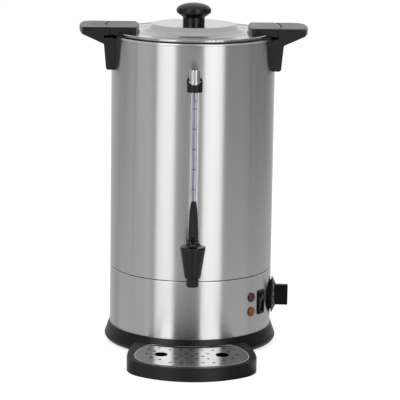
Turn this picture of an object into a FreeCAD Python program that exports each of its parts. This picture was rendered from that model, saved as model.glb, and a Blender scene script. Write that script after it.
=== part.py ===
import FreeCAD, Part
import math
import os

V = FreeCAD.Vector
ORIGIN, EAST, NORTH, UP = V(0, 0, 0), V(1, 0, 0), V(0, 1, 0), V(0, 0, 1)

# Hot water urn. Millimetres, +Z up. The body axis is x = y = 0 and the feet stand on z = 0.
# The tap and the level gauge face -Y (the front). Angles of controls run from the front towards +X.

# General clearances
SLIP = 0.3            # air between pieces that pass each other
RUN = 0.06            # radial air of a pin or shaft in its hole
THREAD = 0.05         # radial air of a screwed or pushed-in joint
HOLE_FIT = 0.2        # radial air of a fastener in its hole

# Body
BODY_R = 111.0        # outside of tank and base shell
WALL = 1.0            # steel wall
FOOT_H = 2.0          # rubber foot below the base ring
RING_H = 22.0         # base ring
SEAM_Z = 104.0        # joint between base shell and tank
TANK_H = 319.0        # seam to the top of the rim
SEAM_GROOVE = 1.0     # each half of the V groove at the seam
SEAM_DEPTH = 0.7
TANK_DROP = 4.7       # tank floor lies this far below the seam
FLOOR_T = 1.0
FLOOR_ROUND = 3.0
RIM_OUT = 1.4         # rolled rim stands out this far
RIM_H = 2.6

# Base ring
RING_OUT = 7.6        # flare beyond the body
RING_LIP = 1.3        # lip width at the top edge
RING_BELT_Z = 6.5     # widest level
RING_TUCK = 3.0       # the foot of the flare tucks in by this
SHELL_SEAT_Z = 14.0   # the base shell stands on this ledge
PLATE_SEAT_Z = 6.0    # the bottom plate lies on this ledge
RING_BORE_IN = 12.0   # bore of the ring inside the body's outside
PLATE_LEDGE = 5.0
GROOVE_W = 6.0        # hollow in the underside of the ring
GROOVE_H = 9.0
FOOT_R = 6.0
FOOT_STEM_R = 3.0
FOOT_STEM_H = 6.0
FOOT_COUNT = 4
FOOT_BOSS_R = 5.2
BOTTOM_T = 1.2
VENT_COUNT = 10
VENT_W = 4.0
VENT_IN, VENT_OUT = 34.0, 60.0

# Studs, clamp and heater
STUD_R = 3.0
STUD_IN = 19.0        # studs inside the body's outside
STUD_COUNT = 3
STUD_TURN = -5.0
NUT_H = 3.4
NUT_FLATS = 10.0
PLATE_IN = 33.0       # heater plate inside the body's outside
PLATE_T = 4.0
MAIN_R, MAIN_TUBE_R = 60.0, 4.2
WARM_R, WARM_TUBE_R = 34.0, 3.3
ELEMENT_SINK = 2.7    # the tubes are brazed this deep into the plate
ELEMENT_GAP_DEG = 40.0
ELEMENT_TURN = 120.0  # where the gap of the elements lies, from +X
ELEMENT_BEND = 2.0    # bend radius of the cold ends in tube radii
LEG_L = 12.0          # cold end below the element
PIN_R, PIN_L = 1.6, 7.0
BAR_END, BAR_W, BAR_T = 8.0, 16.0, 2.0     # bar end to plate edge

# Level gauge
GAUGE_OFF = 13.0      # tube axis to body wall
TUBE_R, TUBE_BORE = 6.3, 3.1
TUBE_OVER = 11.6      # tube top above the cup's front
CUP_DROP = 60.7       # cup below the rim
CUP_R = 10.4
CUP_FRONT_H = 12.1
CUP_BACK_H = 17.6
CUP_DIP = 2.4         # front edge of the cup lower in the middle
CUP_EAR = 6.0         # the side edges fall towards the front over this length
CUP_FLOOR = 2.5
CUP_WALL = 1.8
CAP_R = 7.35
CAP_H = 14.6
CAP_FLANGE_H = 5.3
CAP_SINK = 2.9        # flange foot below the cup's front
CAP_ROUND = 1.6
CAP_NECK, CAP_NECK_H = 0.45, 1.4
SEAL_T = 3.0
ARM_W = 12.0
PAD_W, PAD_H, PAD_T = 18.0, 18.0, 1.8

# Tap
TAP_OFF = 39.0        # barrel axis to body wall
SHANK_UP = 33.0       # shank axis above the seam
SHANK_R, SHANK_BORE = 8.0, 5.5
SHANK_IN = 17.0       # shank end inside the tank wall
BOSS_R = 10.5
FLANGE_R, FLANGE_T = 13.5, 3.4
WASHER_T = 1.6
TAP_NUT_T, TAP_NUT_FLATS = 6.0, 24.0
SPOUT_DROP, SPOUT_R, SPOUT_BORE = 30.0, 8.1, 5.2     # spout mouth below the shank axis
SPOUT_L = 11.0
CONE_FOOT_R, CONE_TOP_R = 10.6, 16.8
CONE_UP = 23.3        # top of the cone above the shank axis
BARREL_BORE = 9.0
SEAT_DROP = 15.5      # valve seat below the shank axis
BONNET_SKIRT = 8.0
BONNET_H = 6.4
BONNET_TOP_R = 8.0
BONNET_HUB_R, BONNET_BROW = 10.9, 2.2     # foot of the hub on the shallow shoulder, and its height
STEM_R = 2.7
CUP_SEAT_R, CUP_SEAT_H = 7.4, 7.5
STEM_SOCKET = 5.0
COLLAR_R, COLLAR_T = 5.5, 1.5
SPRING_IN, SPRING_OUT = 3.3, 5.6
TAP_PIN_R = 1.5
CAM_R, CAM_THROW, CAM_RISE = 6.5, 4.0, 30.0
STEM_HEAD = 3.2       # stem above the pin
LEVER_W = 12.8
LEVER_TIP_W = 6.8
LEVER_BLADE_W, LEVER_BLADE_L = 10.7, 16.0     # width of the blade this far below the tip
LEVER_TOP = 52.2      # lever tip above the pin
LEVER_LEAN = 7.5      # lean of the tip towards the front
LEVER_T, LEVER_TIP_T = 10.0, 6.0
GAUGE_BOSS_R = 7.7
GAUGE_BOSS_H = 21.0
GAUGE_NUT_R, GAUGE_NUT_H, GAUGE_NUT_CAP = 8.9, 10.0, 2.0
TUBE_FOOT = 11.0      # tube foot above the shank axis

# Handles
HANDLE_HALF = 38.5    # half width along Y
HANDLE_TOP = 12.5     # top of the grip above the rim
HANDLE_OUT = 43.5     # outer end of the grip beyond the body
HANDLE_DROP = 46.0    # bottom of the leg below the rim
LEG_TOP_OUT, LEG_FOOT_OUT = 9.6, 6.6
LEG_FOOT_IN, LEG_CORNER = 4.5, 3.5     # leg narrower than the grip at its foot, on either side
SHOULDER_DROP = 10.2  # top of the leg below the rim
TIP_DROP = -2.6       # lower edge of the tip against the rim
TIP_OUT, TIP_RISE = 38.0, 5.69
BACK_CORNER = 18.0
FRONT_CORNER = 2.0
POCKET_WALL = 3.5
LUG_OUT = 7.6         # outer end of the lid lug beyond the body
LUG_GAP = 0.8         # lug to handle
SHELF_DROP = 2.2      # shelf below the rim
SLOT_H = 4.0
SLOT_DEPTH = 7.4
HOOK_TOP_GAP, HOOK_FOOT_GAP = 0.6, 0.6
HOOK_REACH = 3.8
HOOK_FROM, HOOK_TO, SLOT_TO = -9.0, 4.0, 40.0     # angles of the hook and of the slot's open end
SLOT_STOP = 0.4       # angle between hook and slot end
SCREW_R, SCREW_HEAD_R, SCREW_HEAD_H = 2.5, 4.75, 2.6
SCREW_L = 6.0         # screw beyond the wall, in the handles
SCREW_L_GAUGE = 3.5   # the same in the gauge holder
SCREW_UP, SCREW_DOWN = 19.0, 35.0     # below the rim
INSERT_R = 3.7
WALL_WASHER_R, WALL_WASHER_T = 5.8, 1.5

# Lid
LID_T = 0.8
LID_EDGE_IN = 3.4     # these lie inside the body's outside
LID_EDGE_H = 3.4
LID_FLAT_H = 2.7      # flat zone above the lid's lower edge
PLATEAU_IN, PLATEAU_H = 54.2, 13.0
SLOPE_IN, SLOPE_H = 49.0, 7.8
SKIRT_IN, SKIRT_H = 40.0, 4.6
FLAT_IN = 27.0
BEAD_W = 3.4
HEM_W = 3.0
SEAL_FLANGE_T = 1.5
SEAL_DEPTH = 5.8
SEAL_W = 3.2
SEAL_BORE_IN = 6.2
SEAL_OUT = 0.2
LUG_L, LUG_BULGE = 37.2, 4.7
LUG_CORNER = 4.0
LUG_SCREW_IN, LUG_SCREW_Y = 23.0, 20.0
LUG_SCREW_R, LUG_HEAD_R, LUG_HEAD_H, LUG_SCREW_L = 2.0, 3.8, 2.2, 6.0
KNOB_NECK_R, KNOB_NECK_H = 14.9, 8.5
KNOB_R, KNOB_H = 23.6, 28.1
KNOB_DOME, KNOB_CHIN = 9.6, 3.4     # height of the dome, and of the round edge below it
KNOB_SCREW_R, KNOB_SCREW_L = 2.5, 10.0
KNOB_WASHER_R, KNOB_WASHER_T = 9.0, 1.2

# Controls on the base shell
LAMP_ANGLE, LAMP_HIGH_Z, LAMP_LOW_Z = 47.2, 74.9, 55.0
LAMP_R, LAMP_LENS_R, LAMP_BARREL_R = 6.5, 5.4, 4.9
LAMP_FLANGE, LAMP_DOME, LAMP_DEEP, LAMP_BORE = 1.5, 2.4, 12.0, 3.6
BULB_R, BULB_L = 3.2, 9.0
SWITCH_ANGLE, SWITCH_Z = 59.0, 64.6
SWITCH_W, SWITCH_H, SWITCH_FLANGE = 16.2, 33.0, 2.0
SWITCH_CORNER = 2.6
SWITCH_BODY_W, SWITCH_BODY_H, SWITCH_DEEP = 12.6, 27.0, 22.0
ROCKER_W, ROCKER_H, ROCKER_TILT = 9.8, 23.4, 10.0
ROCKER_SINK = 1.5     # pivot below the body surface
ROCKER_PIN_R = 1.2
DIAL_ANGLE, DIAL_Z = 85.0, 64.2
DIAL_GAP = 1.4        # skirt back above the body surface
DIAL_R, DIAL_RIM, DIAL_CONE_R, DIAL_CONE_H = 25.0, 1.0, 14.9, 5.1
GRIP_W, GRIP_L, GRIP_H = 9.2, 28.4, 16.7
DIAL_HOLLOW_R, DIAL_HOLLOW_H = 12.0, 3.6
SHAFT_R, SHAFT_L = 3.0, 33.0
BUSH_R, BUSH_OUT = 4.9, 2.3
STAT_NUT_FLATS, STAT_NUT_T = 14.0, 2.0
STAT_W, STAT_DEEP, STAT_SETBACK = 24.0, 18.0, 4.5
BULB_PROBE_R, BULB_PROBE_L, CAPILLARY_R = 2.6, 44.0, 0.9
INLET_Z, INLET_W, INLET_H = 55.0, 50.0, 22.5
INLET_BODY_W, INLET_BODY_H, INLET_DEEP, INLET_OUT = 27.4, 19.8, 26.0, 3.6
INLET_MOUTH_W, INLET_MOUTH_H, INLET_MOUTH_DEEP = 24.0, 16.0, 17.0
INLET_SCREW_X, INLET_SCREW_R = 20.0, 1.75
BLADE_W, BLADE_H, BLADE_PITCH = 2.0, 4.0, 7.0
CUTOUT_X, CUTOUT_IN, CUTOUT_L, CUTOUT_W, CUTOUT_H = -30.0, 39.0, 34.0, 20.0, 24.0
BUTTON_R, BUTTON_OUT, BUTTON_STROKE = 3.2, 3.0, 2.0
BLOCK_L, BLOCK_W, BLOCK_H = 42.0, 18.0, 16.0
WIRE_R = 1.6

# Drip tray
TRAY_H = 18.3
TRAY_HALF = 85.5
TRAY_FRONT_R, TRAY_FRONT_OFF = 108.0, 6.4     # centre of the front curve ahead of the base ring
TRAY_BACK_GAP = 0.6
TRAY_CORNER = 45.0
TRAY_SIDE_R, TRAY_SIDE_OFF = 240.0, 54.0     # bowed sides, widest this far ahead of the base ring
TRAY_HEEL = 7.0
TRAY_WALL = 2.2
BASIN_FLOOR_Z, BASIN_FLOOR_T = 3.2, 2.2
GRILL_T = 1.0
GRILL_HALF = 75.6
GRILL_FRONT_R, GRILL_FRONT_OFF = 124.0, -19.1
GRILL_SIDE_R, GRILL_SIDE_OFF = 85.0, 50.4
GRILL_BACK_GAP = 4.3
GRILL_CORNER, GRILL_HEEL = 45.0, 7.0
GRILL_SEAT = 3.0
GRILL_FIT = 0.4
FINGER_R, FINGER_X, FINGER_OFF = 8.5, 40.4, 45.4
FINGER_REACH = 1.9     # the finger holes are longer than wide by twice this
DRIP_R = 2.2
DRIP_PITCH = 14.3
DRIP_ROWS = (31.5, 12.6, 0.0, -12.6, -31.5)
DRIP_COUNTS = (5, 4, 3, 4, 5)
DRIP_MID_OFF = 53.6
TONGUE_HALF, TONGUE_T, TONGUE_REACH = 40.0, 1.4, 20.0

# Levels and radii that follow from the sizes above
INNER_R = BODY_R - WALL
RIM_Z = SEAM_Z + TANK_H
RIM_R = BODY_R + RIM_OUT
JOGGLE_R = INNER_R - SLIP
FLOOR_Z = SEAM_Z - TANK_DROP
FLOOR_LOW = FLOOR_Z - FLOOR_T
RING_TOP = FOOT_H + RING_H
RING_R = BODY_R + RING_OUT
RING_BORE_R = BODY_R - RING_BORE_IN
STUD_PCD_R = BODY_R - STUD_IN
CUTOUT_Y = BODY_R - CUTOUT_IN
PLATE_R = BODY_R - PLATE_IN
BOTTOM_Z = PLATE_SEAT_Z + BOTTOM_T
GAUGE_Y = -(BODY_R + GAUGE_OFF)
TAP_Y = -(BODY_R + TAP_OFF)
CUP_Z = RIM_Z - CUP_DROP
CUP_TOP = CUP_Z + CUP_FRONT_H
TUBE_TOP_Z = CUP_TOP + TUBE_OVER
SHANK_Z = SEAM_Z + SHANK_UP
SPOUT_Z = SHANK_Z - SPOUT_DROP
CONE_TOP_Z = SHANK_Z + CONE_UP
SEAT_Z = SHANK_Z - SEAT_DROP
SCREW_Z_GAUGE = CUP_Z + CUP_FRONT_H / 2
LID_Z = RIM_Z + SEAL_FLANGE_T
PLATEAU_Z = LID_Z + PLATEAU_H
FLAT_Z = LID_Z + LID_FLAT_H
GRIP_TOP = RIM_Z + HANDLE_TOP
SHELF_Z = RIM_Z - SHELF_DROP
SLOT_ROOF = SHELF_Z + SLOT_H
HANDLE_R = BODY_R + HANDLE_OUT
TIP_X = BODY_R + TIP_OUT
LEG_TOP_X, LEG_FOOT_X = BODY_R + LEG_TOP_OUT, BODY_R + LEG_FOOT_OUT
LUG_R = BODY_R + LUG_OUT
LUG_HOUSE_R = LUG_R + LUG_GAP
LUG_IN = BODY_R - LUG_L
LUG_SCREW_X = BODY_R - LUG_SCREW_IN
LID_EDGE_R = BODY_R - LID_EDGE_IN
PLATEAU_R, SLOPE_R = BODY_R - PLATEAU_IN, BODY_R - SLOPE_IN
SKIRT_R, FLAT_R = BODY_R - SKIRT_IN, BODY_R - FLAT_IN
SEAL_IN_R, SEAL_OUT_R = BODY_R - SEAL_BORE_IN, BODY_R + SEAL_OUT
BONNET_TOP_Z = CONE_TOP_Z + BONNET_H
CAM_Y = -CAM_THROW * math.cos(math.radians(CAM_RISE))
CAM_Z = CAM_THROW * math.sin(math.radians(CAM_RISE))
PIN_Z = BONNET_TOP_Z + SLIP + CAM_R - CAM_Z
TRAY_FRONT_Y = -(RING_R + TRAY_FRONT_OFF)
GRILL_FRONT_Y = -(RING_R + GRILL_FRONT_OFF)
TRAY_SIDE_Y, GRILL_SIDE_Y = -(RING_R + TRAY_SIDE_OFF), -(RING_R + GRILL_SIDE_OFF)
FINGER_Y = -(RING_R + FINGER_OFF)
DRIP_MID_Y = -(RING_R + DRIP_MID_OFF)


# Shape helpers
def cyl(r, z0, z1, x=0.0, y=0.0):
    return Part.makeCylinder(r, z1 - z0, V(x, y, z0), UP)


def ring(r, bore, z0, z1, x=0.0, y=0.0):
    return cyl(r, z0, z1, x, y).cut(cyl(bore, z0 - 1, z1 + 1, x, y))


def rod_y(r, y0, y1, x=0.0, z=0.0):
    return Part.makeCylinder(r, y1 - y0, V(x, y0, z), NORTH)


def rod_x(r, x0, x1, y=0.0, z=0.0):
    return Part.makeCylinder(r, x1 - x0, V(x0, y, z), EAST)


def box(x0, x1, y0, y1, z0, z1):
    return Part.makeBox(x1 - x0, y1 - y0, z1 - z0, V(x0, y0, z0))


def block(w, h, y0, y1, x=0.0, z=0.0):
    return box(x - w / 2, x + w / 2, y0, y1, z - h / 2, z + h / 2)


def face(points, place):
    # points are (u, v) or (u, v, corner radius); place turns (u, v) into a vector
    corners = []
    for i, p in enumerate(points):
        here = V(p[0], p[1], 0)
        radius = p[2] if len(p) > 2 else 0.0
        if not radius:
            corners.append((here, None, here))
            continue
        back = V(*points[i - 1][:2], 0) - here
        ahead = V(*points[(i + 1) % len(points)][:2], 0) - here
        back.normalize()
        ahead.normalize()
        half = back.getAngle(ahead) / 2
        run = radius / math.tan(half)
        way = (back + ahead).normalize()
        middle = here + way * (radius / math.sin(half) - radius)
        corners.append((here + back * run, middle, here + ahead * run))
    edges = []
    for i, (start, middle, end) in enumerate(corners):
        if middle is not None:
            edges.append(Part.Arc(place(start), place(middle), place(end)).toShape())
        following = corners[(i + 1) % len(corners)][0]
        if (following - end).Length > 1e-6:
            edges.append(Part.LineSegment(place(end), place(following)).toShape())
    return Part.Face(Part.Wire(edges))


def turned(points, x=0.0, y=0.0):
    # (radius, height) outline turned about a vertical axis
    return face(points, lambda p: V(x + p.x, y, p.y)).revolve(V(x, y, 0), UP, 360)


def turned_out(points, z):
    # (radius, distance out) outline turned about the -Y direction at height z
    return face(points, lambda p: V(p.x, -p.y, z)).revolve(V(0, 0, z), NORTH, 360)


def front_prism(points, y0, y1):
    return face(points, lambda p: V(p.x, y0, p.y)).extrude(V(0, y1 - y0, 0))


def side_prism(points, x0, x1):
    return face(points, lambda p: V(x0, p.x, p.y)).extrude(V(x1 - x0, 0, 0))


def hexagon(flats, t):
    radius = flats / math.sqrt(3)
    points = [V(radius * math.cos(math.radians(60 * i)), radius * math.sin(math.radians(60 * i)), 0)
              for i in range(6)]
    return Part.Face(Part.makePolygon(points + points[:1])).extrude(V(0, 0, t))


def nut(flats, t, bore, z0, x=0.0, y=0.0):
    solid = hexagon(flats, t)
    solid.translate(V(x, y, z0))
    return solid.cut(cyl(bore, z0 - 1, z0 + t + 1, x, y))


def nut_out(flats, t, bore, y0, z):
    # nut whose axis lies along Y, from y0 towards +Y
    solid = hexagon(flats, t)
    solid.rotate(ORIGIN, EAST, -90)
    solid.translate(V(0, y0, z))
    return solid.cut(rod_y(bore, y0 - 1, y0 + t + 1, 0, z))


def around(shape, angle):
    moved = shape.copy()
    moved.rotate(ORIGIN, UP, angle)
    return moved


def mirrored(shape):
    return shape.mirror(ORIGIN, EAST)


def sector(r0, r1, z0, z1, a0, a1):
    # part of a ring between two angles counted from +X
    flat = Part.Face(Part.makePolygon([V(r0, 0, z0), V(r1, 0, z0), V(r1, 0, z1), V(r0, 0, z1), V(r0, 0, z0)]))
    return around(flat.revolve(ORIGIN, UP, a1 - a0), a0)


def rounded(shape, r, wanted):
    edges = [e for e in shape.Edges if wanted(e)]
    return shape.makeFillet(r, edges)


def upright(e):
    return abs(e.tangentAt(e.FirstParameter).z) > 0.99 and len(e.Vertexes) == 2


def level(z):
    def test(e):
        b = e.BoundBox
        return abs(b.ZMin - z) < 0.01 and abs(b.ZMax - z) < 0.01
    return test


def bent_tube(points, r):
    # straight runs joined by tangent arcs, swept with a round section
    knots = [V(*p) for p in points]
    edges, start = [], knots[0]
    for i in range(1, len(knots) - 1):
        here = knots[i]
        back, ahead = knots[i - 1] - here, knots[i + 1] - here
        shorter = min(back.Length, ahead.Length)
        back.normalize()
        ahead.normalize()
        half = back.getAngle(ahead) / 2
        run = 0.45 * shorter
        radius = run * math.tan(half)
        way = (back + ahead).normalize()
        middle = here + way * (radius / math.sin(half) - radius)
        edges.append(Part.LineSegment(start, here + back * run).toShape())
        edges.append(Part.Arc(here + back * run, middle, here + ahead * run).toShape())
        start = here + ahead * run
    edges.append(Part.LineSegment(start, knots[-1]).toShape())
    path = Part.Wire(edges)
    first = knots[1] - knots[0]
    section = Part.Wire(Part.makeCircle(r, knots[0], first))
    return Part.Solid(path.makePipeShell([section], True, False))


def group(*solids):
    return Part.makeCompound(list(solids))


parts = {}
inside = cyl(INNER_R, -1, RIM_Z + 1)
outside = cyl(BODY_R, -1, RIM_Z + 1)

# Tank: wall, rolled rim, V groove and joggle at the seam, floor
tank = turned([
    (0, FLOOR_LOW), (JOGGLE_R, FLOOR_LOW, FLOOR_ROUND), (JOGGLE_R, SEAM_Z),
    (BODY_R - SEAM_DEPTH, SEAM_Z), (BODY_R, SEAM_Z + SEAM_GROOVE), (BODY_R, RIM_Z - RIM_H),
    (RIM_R, RIM_Z - RIM_H, 0.9), (RIM_R, RIM_Z, 1.1), (INNER_R, RIM_Z),
    (INNER_R, SEAM_Z + SEAM_GROOVE + WALL), (JOGGLE_R - WALL, SEAM_Z + WALL),
    (JOGGLE_R - WALL, FLOOR_Z, FLOOR_ROUND - WALL), (0, FLOOR_Z)])
tank = tank.cut(rod_y(SHANK_R + HOLE_FIT, -BODY_R - 1, 0, 0, SHANK_Z))
# Screws through the tank wall: (angle from +X, height, length beyond the wall)
screw_spots = [(turn, RIM_Z - drop, SCREW_L) for turn in (0, 180) for drop in (SCREW_UP, SCREW_DOWN)]
screw_spots.append((-90, SCREW_Z_GAUGE, SCREW_L_GAUGE))
screws, washers, inserts = [], [], []
for turn, z, reach in screw_spots:
    tank = tank.cut(around(rod_x(SCREW_R + HOLE_FIT, INNER_R - 2, BODY_R + 1, 0, z), turn))
    seat = INNER_R - WALL_WASHER_T
    washer = rod_x(WALL_WASHER_R, seat, INNER_R + 1, 0, z).common(inside)
    washer = washer.cut(rod_x(SCREW_R + THREAD, seat - 1, INNER_R + 1, 0, z))
    head = rod_x(SCREW_HEAD_R, seat - SCREW_HEAD_H, seat, 0, z)
    head = rounded(head, 1.0, lambda e: abs(e.BoundBox.XMax - (seat - SCREW_HEAD_H)) < 0.01)
    recess = box(seat - SCREW_HEAD_H - 1, seat - 1.2, -2.4, 2.4, z - 0.6, z + 0.6)
    recess = recess.fuse(box(seat - SCREW_HEAD_H - 1, seat - 1.2, -0.6, 0.6, z - 2.4, z + 2.4))
    screw = head.fuse(rod_x(SCREW_R, seat, BODY_R + reach, 0, z)).cut(recess)
    insert = rod_x(INSERT_R, BODY_R - 1, BODY_R + reach, 0, z).cut(cyl(BODY_R + THREAD, z - 9, z + 9))
    insert = insert.cut(rod_x(SCREW_R, seat, BODY_R + reach + 1, 0, z))
    screws.append(around(screw, turn))
    washers.append(around(washer, turn))
    inserts.append(around(insert, turn))
parts["tank"] = tank
parts["wall_screws"] = group(*screws)
parts["wall_washers"] = group(*washers)
parts["wall_inserts"] = group(*inserts)

# Base shell with the cut-outs of the controls
shell = turned([
    (INNER_R, SHELL_SEAT_Z), (BODY_R, SHELL_SEAT_Z), (BODY_R, SEAM_Z - SEAM_GROOVE),
    (BODY_R - SEAM_DEPTH, SEAM_Z), (INNER_R, SEAM_Z)])
for z in (LAMP_HIGH_Z, LAMP_LOW_Z):
    shell = shell.cut(around(rod_y(LAMP_BARREL_R + THREAD, -BODY_R - 1, 0, 0, z), LAMP_ANGLE))
cutout = block(SWITCH_BODY_W + 2 * THREAD, SWITCH_BODY_H + 2 * THREAD, -BODY_R - 1, 0, 0, SWITCH_Z)
shell = shell.cut(around(cutout, SWITCH_ANGLE))
shell = shell.cut(around(rod_y(BUSH_R + HOLE_FIT, -BODY_R - 1, 0, 0, DIAL_Z), DIAL_ANGLE))
cutout = block(INLET_BODY_W + 2 * THREAD, INLET_BODY_H + 2 * THREAD, -BODY_R - 1, 0, 0, INLET_Z)
for x in (-INLET_SCREW_X, INLET_SCREW_X):
    cutout = cutout.fuse(rod_y(INLET_SCREW_R + HOLE_FIT, -BODY_R - 1, 0, x, INLET_Z))
shell = shell.cut(around(cutout, 180))
parts["base_shell"] = shell

# Base ring, bottom plate and feet
ledge_r = RING_BORE_R + PLATE_LEDGE
lip_r = BODY_R + THREAD
ring_body = turned([
    (lip_r, RING_TOP), (lip_r + RING_LIP, RING_TOP, 0.6), (RING_R, RING_BELT_Z, 4.0),
    (RING_R - RING_TUCK, FOOT_H, 1.5), (RING_BORE_R, FOOT_H), (RING_BORE_R, PLATE_SEAT_Z),
    (ledge_r, PLATE_SEAT_Z), (ledge_r, SHELL_SEAT_Z), (lip_r, SHELL_SEAT_Z)])
groove_mid = (ledge_r + RING_R - RING_TUCK) / 2
groove = ring(groove_mid + GROOVE_W / 2, groove_mid - GROOVE_W / 2, FOOT_H, FOOT_H + GROOVE_H)
feet = []
for i in range(FOOT_COUNT):
    angle = math.radians(360 / FOOT_COUNT * (i + 0.5))
    x, y = groove_mid * math.cos(angle), groove_mid * math.sin(angle)
    groove = groove.cut(cyl(FOOT_BOSS_R, FOOT_H - 1, FOOT_H + GROOVE_H + 1, x, y))
    groove = groove.fuse(cyl(FOOT_STEM_R, FOOT_H - 1, FOOT_H + FOOT_STEM_H + SLIP, x, y))
    pad = rounded(cyl(FOOT_R, 0, FOOT_H, x, y), 0.8, level(0))
    feet.append(pad.fuse(cyl(FOOT_STEM_R, FOOT_H - 0.5, FOOT_H + FOOT_STEM_H, x, y)))
parts["base_ring"] = ring_body.cut(groove)
parts["rubber_feet"] = group(*feet)

bottom = cyl(ledge_r - SLIP, PLATE_SEAT_Z, BOTTOM_Z)
studs, stud_nuts = [], []
for i in range(STUD_COUNT):
    angle = math.radians(-90 + STUD_TURN + 360 / STUD_COUNT * i)
    x, y = STUD_PCD_R * math.cos(angle), STUD_PCD_R * math.sin(angle)
    bottom = bottom.cut(cyl(STUD_R + HOLE_FIT, 0, BOTTOM_Z + 1, x, y))
    stud_foot = PLATE_SEAT_Z - NUT_H
    studs.append(cyl(STUD_R, stud_foot, FLOOR_LOW, x, y))
    stud_nuts.append(nut(NUT_FLATS, NUT_H, STUD_R, stud_foot, x, y))
for i in range(VENT_COUNT):
    slot = box(VENT_IN, VENT_OUT, -VENT_W / 2, VENT_W / 2, 0, BOTTOM_Z + 1)
    slot = rounded(slot, VENT_W / 2 - 0.01, upright)
    bottom = bottom.cut(around(slot, 360 / VENT_COUNT * (i + 0.5) - 90))
bottom = bottom.cut(cyl(BUTTON_R + HOLE_FIT, 0, BOTTOM_Z + 1, CUTOUT_X, CUTOUT_Y))
parts["bottom_plate"] = bottom

# Heater plate with its two tubular elements, held by a bar on a stud
plate_low = FLOOR_LOW - PLATE_T


def element(path_r, tube_r, turn):
    # a ring whose two ends bend down, swept with a round section
    z = plate_low + ELEMENT_SINK - tube_r
    half = math.radians(ELEMENT_GAP_DEG / 2)
    bend = ELEMENT_BEND * tube_r
    ends = []
    for side in (1, -1):
        start = V(path_r * math.cos(half), side * path_r * math.sin(half), z)
        along = V(math.sin(half), -side * math.cos(half), 0)
        top = start + along * bend - UP * bend
        middle = start + along * bend * math.sin(math.pi / 4) - UP * bend * (1 - math.cos(math.pi / 4))
        ends.append((top - UP * LEG_L, top, middle, start))
    (foot_a, top_a, middle_a, start_a), (foot_b, top_b, middle_b, start_b) = ends
    path = Part.Wire([
        Part.LineSegment(foot_a, top_a).toShape(), Part.Arc(top_a, middle_a, start_a).toShape(),
        Part.Arc(start_a, V(-path_r, 0, z), start_b).toShape(),
        Part.Arc(start_b, middle_b, top_b).toShape(), Part.LineSegment(top_b, foot_b).toShape()])
    section = Part.Wire(Part.makeCircle(tube_r, foot_a, UP))
    coil = Part.Solid(path.makePipeShell([section], True, False))
    for foot in (foot_a, foot_b):
        coil = coil.fuse(cyl(PIN_R, foot.z - PIN_L, foot.z, foot.x, foot.y))
    return around(coil.removeSplitter(), turn)


main_element = element(MAIN_R, MAIN_TUBE_R, ELEMENT_TURN)
warm_element = element(WARM_R, WARM_TUBE_R, ELEMENT_TURN)
plate = cyl(PLATE_R, plate_low, FLOOR_LOW).cut(cyl(STUD_R + HOLE_FIT, 0, FLOOR_Z))
parts["heater_plate"] = plate.cut(main_element).cut(warm_element)
parts["main_element"] = main_element
parts["keep_warm_element"] = warm_element
bar_top = plate_low + ELEMENT_SINK - 2 * MAIN_TUBE_R
bar = box(BAR_END - PLATE_R, PLATE_R - BAR_END, -BAR_W / 2, BAR_W / 2, bar_top - BAR_T, bar_top)
parts["clamp_bar"] = bar.cut(cyl(STUD_R + HOLE_FIT, 0, FLOOR_Z))
clamp_foot = bar_top - BAR_T - NUT_H
studs.append(cyl(STUD_R, clamp_foot, FLOOR_LOW))
stud_nuts.append(nut(NUT_FLATS, NUT_H, STUD_R, clamp_foot))
parts["floor_studs"] = group(*studs)
parts["stud_nuts"] = group(*stud_nuts)

# Level gauge: glass tube, cup on the wall, chrome cap, seals and nut
tube_foot = SHANK_Z + TUBE_FOOT
parts["gauge_tube"] = ring(TUBE_R, TUBE_BORE, tube_foot, TUBE_TOP_Z, 0, GAUGE_Y)
cup = cyl(CUP_R, CUP_Z, CUP_Z + CUP_BACK_H, 0, GAUGE_Y)
cup_brim = CUP_Z + CUP_BACK_H
cup = cup.cut(side_prism([
    (GAUGE_Y - CUP_R - 1, CUP_TOP), (GAUGE_Y - 1, CUP_TOP), (GAUGE_Y - 1 + CUP_EAR, cup_brim),
    (GAUGE_Y - 1 + CUP_EAR, cup_brim + 1), (GAUGE_Y - CUP_R - 1, cup_brim + 1)], -CUP_R - 1, CUP_R + 1))
dip_r = (CUP_R ** 2 + CUP_DIP ** 2) / (2 * CUP_DIP)
cup = cup.cut(rod_y(dip_r, GAUGE_Y - CUP_R - 1, GAUGE_Y, 0, CUP_TOP - CUP_DIP + dip_r))
arm = block(ARM_W, CUP_FRONT_H, GAUGE_Y, -INNER_R, 0, SCREW_Z_GAUGE)
pad_part = block(PAD_W, PAD_H, -BODY_R - PAD_T, -INNER_R, 0, SCREW_Z_GAUGE)
cup = cup.fuse(arm).fuse(rounded(pad_part, 2.0, lambda e: abs(e.tangentAt(e.FirstParameter).y) > 0.99))
cup = cup.cut(cyl(CUP_R - CUP_WALL, CUP_Z + CUP_FLOOR, CUP_Z + CUP_BACK_H + 1, 0, GAUGE_Y))
cup = cup.cut(cyl(TUBE_R + THREAD, CUP_Z - 1, CUP_Z + CUP_BACK_H, 0, GAUGE_Y)).cut(outside)
cup = cup.cut(around(rod_x(INSERT_R, BODY_R - 1, BODY_R + SCREW_L_GAUGE, 0, SCREW_Z_GAUGE), -90))
parts["gauge_holder"] = cup.removeSplitter()
cap_z = CUP_TOP - CAP_SINK
cap_r = CUP_R - CUP_WALL - THREAD
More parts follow.
